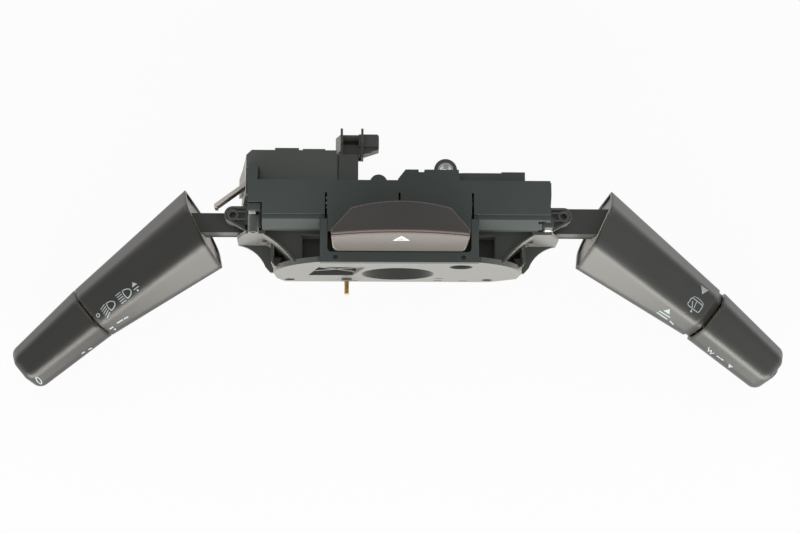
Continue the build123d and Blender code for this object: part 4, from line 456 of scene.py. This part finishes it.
def shape(points):
    """Filled flat shape through some points."""
    deselect()
    bpy.ops.mesh.primitive_circle_add(vertices=len(points), radius=MM, fill_type="NGON")
    piece = bpy.context.object
    for vertex, (x, y) in zip(piece.data.vertices, points):
        vertex.co = (x * MM, y * MM, 0.0)
    return piece


def outline(points, width):
    """Closed line along the inside of some points."""
    piece = shape(points)
    bpy.ops.object.mode_set(mode="EDIT")
    bpy.ops.mesh.select_mode(type="FACE")
    bpy.ops.mesh.select_all(action="SELECT")
    bpy.ops.mesh.normals_make_consistent(inside=False)
    bpy.ops.mesh.inset(thickness=width * MM)
    bpy.ops.mesh.delete(type="FACE")
    bpy.ops.object.mode_set(mode="OBJECT")
    return piece


def stroke(start, end, width):
    """Straight line with square ends."""
    along = (Vector(end) - Vector(start)).normalized() * (width / 2)
    side = Vector((-along.y, along.x))
    first, last = Vector(start) - along, Vector(end) + along
    return shape([first - side, last - side, last + side, first + side])


def run(points, width):
    """Line of several straight strokes."""
    return [stroke(start, end, width) for start, end in zip(points, points[1:])]


def oval(centre, across, along, turn=0.0, count=20):
    """Points round an ellipse that is turned in its plane."""
    cosine, sine = math.cos(turn), math.sin(turn)
    points = []
    for step in range(count):
        angle = 2 * math.pi * step / count
        x, y = across * math.cos(angle), along * math.sin(angle)
        points.append((centre[0] + x * cosine - y * sine, centre[1] + x * sine + y * cosine))
    return points


def dot(centre, radius):
    """Small filled disc."""
    return shape(oval(centre, radius, radius, count=DOT_SIDES))


def rounded_corners(low, high, radius):
    """Points round a rectangle with rounded corners."""
    points = []
    corners = ((high[0], low[1], -90), (high[0], high[1], 0), (low[0], high[1], 90), (low[0], low[1], 180))
    for x, y, start in corners:
        centre_x = x - math.copysign(radius, x - (low[0] + high[0]) / 2)
        centre_y = y - math.copysign(radius, y - (low[1] + high[1]) / 2)
        for step in range(CORNER_STEPS + 1):
            angle = math.radians(start + 90 * step / CORNER_STEPS)
            points.append((centre_x + radius * math.cos(angle), centre_y + radius * math.sin(angle)))
    return points


def headlamp(centre, reach, half, rays, fall, width):
    """Headlamp: a domed lens to the right and rays to the left, which fall as they go out."""
    x, y = centre
    dome = []
    for step in range(DOME_STEPS + 1):
        angle = math.radians(180 * step / DOME_STEPS - 90)
        dome.append((x + reach * math.cos(angle), y + half * math.sin(angle)))
    back = x - LAMP_BACK
    dome += [(back, y + half * LAMP_BACK_HALF), (back, y - half * LAMP_BACK_HALF)]
    pieces = [outline(dome, width)]
    for ray in range(rays):
        level = y + half * RAY_TOP - ray * half * RAY_SPAN / (rays - 1)
        end = level - fall * (1 + RAY_FAN * ray)
        pieces.append(stroke((x - RAY_START, level), (x - RAY_END, end), width * RAY_WIDTH))
    return pieces


def join(pieces, name):
    """One piece out of several."""
    deselect()
    for piece in pieces:
        piece.select_set(True)
    bpy.context.view_layer.objects.active = pieces[0]
    if len(pieces) > 1:
        bpy.ops.object.join()
    piece = bpy.context.object
    piece.name = piece.data.name = name
    return piece


def apply_modifier(piece, kind, **settings):
    """Adds a modifier to a piece and applies it."""
    modifier = piece.modifiers.new(kind.lower(), kind)
    for name, value in settings.items():
        setattr(modifier, name, value)
    deselect()
    piece.select_set(True)
    bpy.context.view_layer.objects.active = piece
    bpy.ops.object.modifier_apply(modifier=modifier.name)


def lay_print(pieces, name, place, node, body, material):
    """Lays flat shapes on a CAD node, straight down from their plane, as thin paint."""
    piece = join(pieces, name)
    bpy.ops.object.mode_set(mode="EDIT")
    bpy.ops.mesh.select_all(action="SELECT")
    bpy.ops.mesh.quads_convert_to_tris()
    bpy.ops.mesh.subdivide(number_cuts=2)
    bpy.ops.mesh.normals_make_consistent(inside=False)
    bpy.ops.object.mode_set(mode="OBJECT")
    if piece.data.polygons[0].normal.z < 0:
        piece.data.flip_normals()
    piece.matrix_world = place @ Matrix.Translation((0, 0, PRINT_DROP * MM))
    bpy.context.view_layer.update()
    apply_modifier(
        piece, "SHRINKWRAP", target=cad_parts[node], wrap_method="PROJECT", use_project_z=True,
        use_negative_direction=True, use_positive_direction=False, offset=PRINT_LIFT * MM)
    bpy.ops.object.transform_apply(location=True, rotation=True, scale=True)
    apply_modifier(piece, "SOLIDIFY", thickness=PRINT_THICK * MM, offset=1.0)
    piece.data.materials.clear()
    piece.data.materials.append(material)
    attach(piece, body)
    return piece


def frame_matrix(origin, right, up):
    """Axes of a print: X to the right, Z out of the surface."""
    right = Vector(right).normalized()
    away = Vector(up).cross(right).normalized()
    up = right.cross(away)
    turn = Matrix((right, away, up)).transposed().to_4x4()
    return Matrix.Translation(Vector(origin)) @ turn


def stalk_axis(outward, sweep):
    """Direction of a stalk, from its mouth to its tip."""
    droop = math.radians(DROOP)
    angle = math.radians(sweep)
    level = math.cos(droop)
    return Vector((outward * level * math.cos(angle), -level * math.sin(angle), -math.sin(droop)))


def stalk_frame(mouth, sweep, knob):
    """Axes of a casing at its mouth, or of its knob at their joint."""
    outward = math.copysign(1.0, mouth[0])
    origin = Vector(mouth) * MM
    if knob:
        origin += stalk_axis(outward, sweep) * CASING_LENGTH * MM
        sweep += KNOB_BEND
    return frame_matrix(origin, stalk_axis(outward, sweep) * outward, (0, 0, 1))


# ---- settings -----------------------------------------------------------------------------
def colour_setting(name, description, default):
    """A colour that the user can change."""
    return bpy.props.FloatVectorProperty(
        name=name, description=description, subtype="COLOR", size=3, min=0.0, max=1.0, default=default)


class PlasticSettings(bpy.types.PropertyGroup):
    """Colours and grain of the mouldings."""

    housing: colour_setting("Housing", "Colour of the carrier moulding", (0.056, 0.065, 0.063))
    cover: colour_setting("Cover", "Colour of the top cover", (0.068, 0.081, 0.077))
    connector: colour_setting("Connector", "Colour of the connector block", (0.083, 0.093, 0.090))
    left_stalk: colour_setting("Left Stalk", "Colour of the left casing and knob", (0.008, 0.0092, 0.0089))
    right_stalk: colour_setting("Right Stalk", "Colour of the right casing and knob", (0.030, 0.034, 0.032))
    grain: bpy.props.FloatProperty(
        name="Grain", description="Size of the moulded grain", unit="LENGTH",
        min=0.1 * MM, max=2.0 * MM, default=0.5 * MM)


class PrintSettings(bpy.types.PropertyGroup):
    """Paint of the symbols."""

    paint: colour_setting("Paint", "Colour of the symbols on the stalks", (0.52, 0.58, 0.58))
    button_paint: colour_setting("Button Paint", "Colour of the warning triangle", (0.86, 0.88, 0.87))
    line: bpy.props.FloatProperty(
        name="Line", description="Width of the printed lines in millimetres", min=0.1, max=1.0, default=0.42)


class StudioSettings(bpy.types.PropertyGroup):
    """Camera of the studio."""

    elevation: bpy.props.FloatProperty(
        name="Elevation", description="Height of the camera above the horizon", subtype="ANGLE",
        default=math.radians(80.5))
    distance: bpy.props.FloatProperty(
        name="Distance", description="From the camera to the column axis", unit="LENGTH",
        default=0.750)
    lens: bpy.props.FloatProperty(
        name="Lens", description="Focal length of the camera in millimetres", default=70.02)


# ---- pieces -------------------------------------------------------------------------------
class SWITCH_OT_carrier(bpy.types.Operator):
    """Finish the carrier, the cover and the inner mouldings"""

    bl_idname = "stalk_switch.carrier"
    bl_label = "Carrier and Cover"

    def execute(self, context):
        plastic = context.scene.switch_plastic
        grain = plastic.grain
        carrier = moulded("carrier plastic", plastic.housing, roughness=0.36, grain=grain, dust=0.65)
        cover = moulded("cover plastic", plastic.cover, roughness=0.40, grain=grain, dust=0.05, index=1.3)
        connector = moulded("connector plastic", plastic.connector, roughness=0.36, grain=grain, dust=0.65)
        inner = moulded("inner plastic", INNER_COLOUR, roughness=0.45, grain=grain)
        dress(carrier, *CARRIER)
        dress(cover, *COVER)
        dress(connector, "connector_block")
        dress(inner, *INNER)
        return {"FINISHED"}


class SWITCH_OT_stalks(bpy.types.Operator):
    """Finish both stalks, their end plates, lever arms and end button"""

    bl_idname = "stalk_switch.stalks"
    bl_label = "Stalks"

    def execute(self, context):
        plastic = context.scene.switch_plastic
        grain = plastic.grain
        fine = grain * STALK_GRAIN
        for side, colour in (("left", plastic.left_stalk), ("right", plastic.right_stalk)):
            smooth = moulded(
                f"{side} stalk plastic", colour, roughness=0.35, grain=fine, depth=0.0, edge=STALK_EDGE,
                wear_and_highlight=0.0, dust=0.0, index=1.8, speck=0.02)
            dress(smooth, f"{side}_casing", f"{side}_knob")
        lever = moulded("lever plastic", LEVER_COLOUR, roughness=0.42, grain=grain)
        dress(lever, "left_lever_arm", "right_lever_arm")
        # The end plates' colour holds a painted grazing reflection.
        plate = moulded("plate plastic", PLATE_COLOUR_WITH_PAINTED_REFLECTION, roughness=0.40, grain=grain, dust=0.8)
        dress(plate, "left_end_plate", "right_end_plate")
        knob_axis = stalk_axis(1.0, RIGHT_SWEEP + KNOB_BEND)
        ridges = (tuple(knob_axis.cross(Vector((0, 0, 1))).normalized()), RIDGE_PITCH)
        ribbed = moulded("end button plastic", END_BUTTON_COLOUR, roughness=0.45, grain=fine, ridges=ridges)
        dress(ribbed, "right_end_button")
        return {"FINISHED"}


class SWITCH_OT_hardware(bpy.types.Operator):
    """Finish the metal pieces, the board and the ribbon cable"""

    bl_idname = "stalk_switch.hardware"
    bl_label = "Hardware"

    def execute(self, context):
        dress(plated("plated steel", STEEL_COLOUR, roughness=0.25), *STEEL)
        dress(plated("dark pins", DARK_PIN_COLOUR, roughness=0.35), "left_pivot_pin", "right_pivot_pin")
        dress(plated("turned brass", BRASS_COLOUR, roughness=0.26), *BRASS)
        dress(coated_board("coated board"), "circuit_board")
        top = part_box("left_ribbon_cable")[1].z
        dress(cable_jacket("cable jacket", JACKET_COLOUR, top, WIRE_PITCH), "left_ribbon_cable")
        return {"FINISHED"}


class SWITCH_OT_button(bpy.types.Operator):
    """Finish the hazard button with its cap and red edge layer"""

    bl_idname = "stalk_switch.button"
    bl_label = "Hazard Button"

    def execute(self, context):
        cap = moulded(
            "button cap plastic", CAP_COLOUR, roughness=0.36, grain=FINE_GRAIN, depth=FINE_DEPTH,
            edge=BUTTON_EDGE, dust=0.3)
        body = moulded(
            "button body plastic", BUTTON_COLOUR, roughness=0.30, grain=FINE_GRAIN, depth=FINE_DEPTH,
            edge=BUTTON_EDGE, dust=0.75)
        layer = moulded("red layer", RED_LAYER, roughness=0.3, grain=FINE_GRAIN, depth=LENS_DEPTH)
        dress(cap, "hazard_cap")
        dress(body, "hazard_button")
        dress(layer, "hazard_lens")
        return {"FINISHED"}


class SWITCH_OT_screws(bpy.types.Operator):
    """Model the two case screws with domed heads and star recesses"""

    bl_idname = "stalk_switch.screws"
    bl_label = "Case Screws"

    # Sizes in metres; the inset and the waist are shares of a radius.
    SIDES = 24
    HEAD_HEIGHT = 1.8 * MM
    HEAD_ROUND = 0.45 * MM
    HEAD_RIM = 0.55 * MM
    RECESS_DEPTH = 1.0 * MM
    SHANK_INSET = 0.5
    STAR_WAIST = 0.74

    # How near a face lies to a place, and how squarely it faces along Y.
    TOUCH = 1e-6
    SQUARE_ON = 0.99

    def execute(self, context):
        low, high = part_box("case_screws")
        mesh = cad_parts["case_screws"].data
        heads = []
        for sign in (-1, 1):
            own = [vertex.co for vertex in mesh.vertices if vertex.co.x * sign > 0]
            front = min(co.y for co in own)
            back = max(co.y for co in own)
            x = (min(co.x for co in own) + max(co.x for co in own)) / 2
            heads.append(self.screw(x, front, back, (low.z + high.z) / 2, (high.z - low.z) / 2))
        piece = join(heads, "case_screw_pair")
        piece.data.materials.append(plated("bright screws", SCREW_COLOUR, roughness=0.18))
        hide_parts("case_screws")
        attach(piece, "housing")
        return {"FINISHED"}

    def screw(self, x, front, back, z, radius):
        """One screw along Y: head in front, shank behind."""
        head = self.HEAD_HEIGHT
        deselect()
        bpy.ops.mesh.primitive_cylinder_add(
            vertices=self.SIDES, radius=radius, depth=head, location=(x, front + head / 2, z),
            rotation=(math.radians(90), 0, 0))
        bpy.ops.object.transform_apply(location=True, rotation=True, scale=True)
        piece = bpy.context.object
        self.pick(piece, front)
        bpy.ops.object.mode_set(mode="EDIT")
        bpy.ops.mesh.bevel(offset=self.HEAD_ROUND, segments=3, affect="EDGES")
        bpy.ops.object.mode_set(mode="OBJECT")
        self.pick(piece, front)
        bpy.ops.object.mode_set(mode="EDIT")
        bpy.ops.mesh.inset(thickness=self.HEAD_RIM)
        bpy.ops.object.mode_set(mode="OBJECT")
        self.star(piece, Vector((x, front, z)))
        bpy.ops.object.mode_set(mode="EDIT")
        bpy.ops.mesh.extrude_region_move(TRANSFORM_OT_translate={"value": (0, self.RECESS_DEPTH, 0)})
        bpy.ops.object.mode_set(mode="OBJECT")
        self.pick(piece, front + head)
        bpy.ops.object.mode_set(mode="EDIT")
        bpy.ops.mesh.inset(thickness=radius * self.SHANK_INSET)
        bpy.ops.mesh.extrude_region_move(TRANSFORM_OT_translate={"value": (0, back - front - head, 0)})
        bpy.ops.object.mode_set(mode="OBJECT")
        return piece

    def pick(self, piece, y):
        """Selects the smallest flat face at a place along Y."""
        for part in (piece.data.vertices, piece.data.edges, piece.data.polygons):
            for item in part:
                item.select = False
        faces = [
            face for face in piece.data.polygons
            if abs(face.center.y - y) < self.TOUCH and abs(face.normal.y) > self.SQUARE_ON]
        face = min(faces, key=lambda face: face.area)
        face.select = True
        piece.data.polygons.active = face.index
        deselect()
        piece.select_set(True)
        bpy.context.view_layer.objects.active = piece
        bpy.ops.object.mode_set(mode="EDIT")
        bpy.ops.mesh.select_mode(type="FACE")
        bpy.ops.object.mode_set(mode="OBJECT")

    def star(self, piece, centre):
        """Pulls every other pair of the recess corners inwards."""
        chosen = [vertex for vertex in piece.data.vertices if vertex.select]
        chosen.sort(key=lambda vertex: math.atan2(vertex.co.z - centre.z, vertex.co.x - centre.x))
        for index, vertex in enumerate(chosen):
            if index % 4 >= 2:
                vertex.co = centre + (vertex.co - centre) * self.STAR_WAIST


class SWITCH_OT_prints(bpy.types.Operator):
    """Print the symbols on both stalks"""

    bl_idname = "stalk_switch.prints"
    bl_label = "Stalk Symbols"

    # Widths of some lines, as shares of the line width.
    BOLD = 1.2
    LIGHT = 0.8
    HAIR = 0.7

    def execute(self, context):
        settings = context.scene.switch_prints
        paint = printed("symbol paint", settings.paint)
        left = (LEFT_MOUTH, LEFT_SWEEP)
        right = (RIGHT_MOUTH, RIGHT_SWEEP)
        for node, body, draw, stalk, knob in (
                ("left_casing", "left_lever_body", self.left_casing, left, False),
                ("left_knob", "left_knob_body", self.left_knob, left, True),
                ("right_casing", "right_lever_body", self.right_casing, right, False),
                ("right_knob", "right_knob_body", self.right_knob, right, True)):
            pieces = draw(settings.line)
            lay_print(pieces, f"{node}_symbols", stalk_frame(*stalk, knob), node, body, paint)
        return {"FINISHED"}

    def left_casing(self, width):
        """Off ring, side lamps, headlamps, column of fog marks, and marks on the flank."""
        fog_arrow = [(-40.4, -2.4), (-41.85, -4.4), (-38.95, -4.4)]
        flank_dashes = (
            ((-58.7, -12.3), (-57.6, -12.5)), ((-57.1, -12.4), (-55.9, -12.6)),
            ((-54.9, -12.7), (-53.1, -12.9)), ((-63.3, -12.4), (-61.8, -12.5)))
        flank_arrow = [(-62.5, -13.4), (-61.9, -14.2), (-61.2, -13.4)]
        pieces = [outline(oval((-63.0, -5.0), across=1.0, along=1.0), width)]
        pieces += headlamp((-56.6, -4.85), reach=3.9, half=2.25, rays=5, fall=0.8, width=width)
        pieces += headlamp((-46.9, -4.9), reach=3.85, half=2.35, rays=5, fall=0.0, width=width)
        pieces.append(shape(fog_arrow))
        pieces.append(stroke((-41.8, -5.7), (-39.2, -5.7), width))
        pieces.append(dot((-40.6, -6.9), radius=0.45))
        pieces += [stroke(start, end, width * self.BOLD) for start, end in flank_dashes]
        pieces.append(shape(flank_arrow))
        return pieces

    def left_knob(self, width):
        """Slanting ring near the tip and two dashes near the joint."""
        ring = oval((-40.4, -8.9), across=1.9, along=1.0, turn=math.radians(65))
        pieces = [outline(ring, width)]
        pieces.append(stroke((-16.5, -12.2), (-15.2, -12.4), width))
        pieces.append(stroke((-12.9, -12.8), (-11.6, -13.1), width))
        return pieces

    def right_casing(self, width):
        """Arrow, rear wiper in its window with a spray, and an arrow with lines on the flank."""
        top_arrow = [(55.8, 7.6), (58.4, 4.3), (60.3, 7.9)]
        window = rounded_corners((55.0, -4.4), (62.3, 0.3), radius=1.1)
        wiper = [(58.7, -5.2), (58.2, -4.2), (56.6, -1.4)]
        spray = [(55.7, 0.7), (56.6, 1.3), (58.5, 1.5), (60.5, 1.3), (61.9, 0.6)]
        flank_arrow = [(50.3, -10.3), (48.7, -12.3), (52.1, -12.0)]
        pieces = [shape(top_arrow), outline(window, width), dot((58.75, -5.6), radius=0.5)]
        pieces += run(wiper, width)
        pieces.append(stroke((58.9, -3.4), (58.4, -0.5), width * self.LIGHT))
        pieces += run(spray, width * self.HAIR)
        pieces.append(shape(flank_arrow))
        pieces.append(stroke((47.6, -13.3), (53.3, -12.8), width))
        pieces.append(stroke((47.4, -14.3), (53.1, -14.0), width))
        pieces.append(stroke((55.0, -13.9), (57.2, -14.1), width))
        return pieces

    def right_knob(self, width):
        """Zigzag of the wipers, two dashes and an arrow."""
        zigzag = [(12.7, -12.1), (13.9, -13.1), (14.6, -12.2), (15.6, -13.2), (16.4, -12.4)]
        arrow = [(25.3, -11.4), (26.9, -12.6), (28.1, -11.3)]
        pieces = run(zigzag, width)
        pieces.append(stroke((18.6, -12.3), (20.0, -12.2), width))
        pieces.append(stroke((20.8, -12.1), (22.1, -11.9), width))
        pieces.append(shape(arrow))
        return pieces


class SWITCH_OT_warning(bpy.types.Operator):
    """Print the warning triangle on the front of the hazard button"""

    bl_idname = "stalk_switch.warning"
    bl_label = "Warning Triangle"

    # Where its middle lies, in millimetres; its foot and top are shares of half its width.
    PLACE = (0.35, -30.0, 51.9)
    FOOT = -0.754
    TOP = 0.9

    def execute(self, context):
        paint = printed("warning paint", context.scene.switch_prints.button_paint)
        outer = outline(self.triangle(half_width=3.9), width=0.95)
        inner = outline(self.triangle(half_width=1.7), width=0.5)
        place = frame_matrix([part * MM for part in self.PLACE], (1, 0, 0), (0, -1, 0))
        lay_print([outer, inner], "hazard_button_symbol", place, "hazard_button", "hazard_button_body", paint)
        return {"FINISHED"}

    def triangle(self, half_width):
        """Corners of a triangle that stands on its foot."""
        foot = self.FOOT * half_width
        return [(-half_width, foot), (half_width, foot), (0.0, self.TOP * half_width)]


class SWITCH_OT_studio(bpy.types.Operator):
    """Set the floor, the lights and the camera"""

    bl_idname = "stalk_switch.studio"
    bl_label = "Studio"

    # Lamps: name, place and size in metres, and power in watts. The sky's strength is 1 for white.
    LAMPS = (
        ("left box", (-0.6, 0.95, 0.55), (0.7, 0.7), 2.0),
        ("right box", (0.6, 0.95, 0.55), (0.7, 0.7), 2.0),
        ("driver side", (0.0, -0.8, 0.18), (2.2, 0.36), 16.0))
    SKY = 0.45

    # Sizes in metres, and the share of plain white that the camera sees on the floor.
    FLOOR_SIZE = 6.0
    FLOOR_GAP = 2 * MM
    FLOOR_CLOUD = 0.2
    FLOOR_DARK = (0.88, 0.88, 0.88)
    FLOOR_LIGHT = (0.92, 0.92, 0.92)
    FLOOR_SHOWN = 0.93

    # Width and height of the view, and where the column axis shows in it, in pixels. The turn aside is in
    # degrees and the sensor in millimetres.
    VIEW_SIZE = (800, 533)
    AXIS_AT = (397.6, 274.0)
    ASIDE = 1.6
    SENSOR = 36.0

    def execute(self, context):
        scene = context.scene
        self.floor()
        self.sky(scene)
        for name, place, size, power in self.LAMPS:
            self.lamp(name, place, size, power)
        self.camera(scene, scene.switch_studio)
        scene.view_settings.view_transform = "Standard"
        return {"FINISHED"}

    def floor(self):
        """Plain pale floor under the lowest point, which keeps the shadows."""
        deselect()
        bpy.ops.mesh.primitive_plane_add(
            size=self.FLOOR_SIZE, location=(0, 0, REST_BOUNDS[0][2] - self.FLOOR_GAP))
        floor = bpy.context.object
        floor.name = "floor"
        graph = new_material("floor")
        cloud = graph.noise(graph.place(), self.FLOOR_CLOUD)
        shown = graph.ray("Camera") * self.FLOOR_SHOWN
        mirrored = (graph.ray("Glossy") + graph.ray("Transmission")).clamped()
        colour = graph.mix(cloud, self.FLOOR_DARK, self.FLOOR_LIGHT)
        lit = graph.value("ShaderNodeBsdfDiffuse", None, {"Color": colour})
        glow = graph.value("ShaderNodeEmission", None, {"Color": WHITE, "Strength": 1.0})
        both = graph.value("ShaderNodeMixShader", None, {0: (shown + mirrored).clamped(), 1: lit, 2: glow})
        graph.add("ShaderNodeOutputMaterial", None, {"Surface": both})
        floor.data.materials.append(graph.owner)

    def sky(self, scene):
        """Even soft light from all round, and white where the camera looks past the floor."""
        scene.world = bpy.data.worlds.new("studio")
        graph = Graph(scene.world)
        strength = graph.ray("Camera").at_least(self.SKY)
        light = graph.value("ShaderNodeBackground", None, {"Color": WHITE, "Strength": strength})
        graph.add("ShaderNodeOutputWorld", None, {"Surface": light})

    def lamp(self, name, place, size, power):
        """Rectangular soft lamp aimed at the column bore."""
        data = bpy.data.lights.new(name, "AREA")
        data.shape = "RECTANGLE"
        data.size, data.size_y = size
        data.energy = power
        lamp = bpy.data.objects.new(name, data)
        bpy.context.collection.objects.link(lamp)
        lamp.location = place
        lamp.rotation_euler = (-Vector(place)).to_track_quat("-Z", "Y").to_euler()

    def camera(self, scene, studio):
        """Camera high above the driver's side."""
        aside = math.tan(math.radians(self.ASIDE))
        look = Vector((aside, math.cos(studio.elevation), -math.sin(studio.elevation))).normalized()
        right = look.cross(Vector((0, 1, 0))).normalized()
        up = right.cross(look)
        width, height = self.VIEW_SIZE
        across, down = self.AXIS_AT
        pixel = studio.distance * self.SENSOR / studio.lens / width
        target = right * (width / 2 - across) * pixel + up * (down - height / 2) * pixel
        data = bpy.data.cameras.new("camera")
        data.lens = studio.lens
        data.sensor_width = self.SENSOR
        camera = bpy.data.objects.new("camera", data)
        bpy.context.collection.objects.link(camera)
        turn = Matrix((right, up, -look)).transposed().to_4x4()
        camera.matrix_world = Matrix.Translation(target - look * studio.distance) @ turn
        scene.camera = camera


# ---- add-on -------------------------------------------------------------------------------
class SWITCH_PT_panel(bpy.types.Panel):
    """Lists the settings and the steps of the switch."""

    bl_label = "Stalk Switch"
    bl_idname = "SWITCH_PT_panel"
    bl_space_type = "VIEW_3D"
    bl_region_type = "UI"
    bl_category = "Stalk Switch"

    def draw(self, context):
        layout = self.layout
        scene = context.scene
        for group in (scene.switch_plastic, scene.switch_prints, scene.switch_studio):
            for name in group.__annotations__:
                layout.prop(group, name)
        for step in STEPS:
            layout.operator(step.bl_idname)


STEPS = (
    SWITCH_OT_carrier, SWITCH_OT_stalks, SWITCH_OT_hardware, SWITCH_OT_button, SWITCH_OT_screws,
    SWITCH_OT_prints, SWITCH_OT_warning, SWITCH_OT_studio)
GROUPS = {"switch_plastic": PlasticSettings, "switch_prints": PrintSettings, "switch_studio": StudioSettings}


def register():
    """Registers the settings, the steps and the panel."""
    for cls in (*GROUPS.values(), *STEPS, SWITCH_PT_panel):
        bpy.utils.register_class(cls)
    for name, cls in GROUPS.items():
        setattr(bpy.types.Scene, name, bpy.props.PointerProperty(type=cls))


def unregister():
    """Takes back what register did."""
    for name in GROUPS:
        delattr(bpy.types.Scene, name)
    for cls in reversed((*GROUPS.values(), *STEPS, SWITCH_PT_panel)):
        bpy.utils.unregister_class(cls)


def main():
    """Runs every step."""
    register()
    for step in STEPS:
        group, name = step.bl_idname.split(".")
        getattr(getattr(bpy.ops, group), name)()


if __name__ == "__main__":
    main()
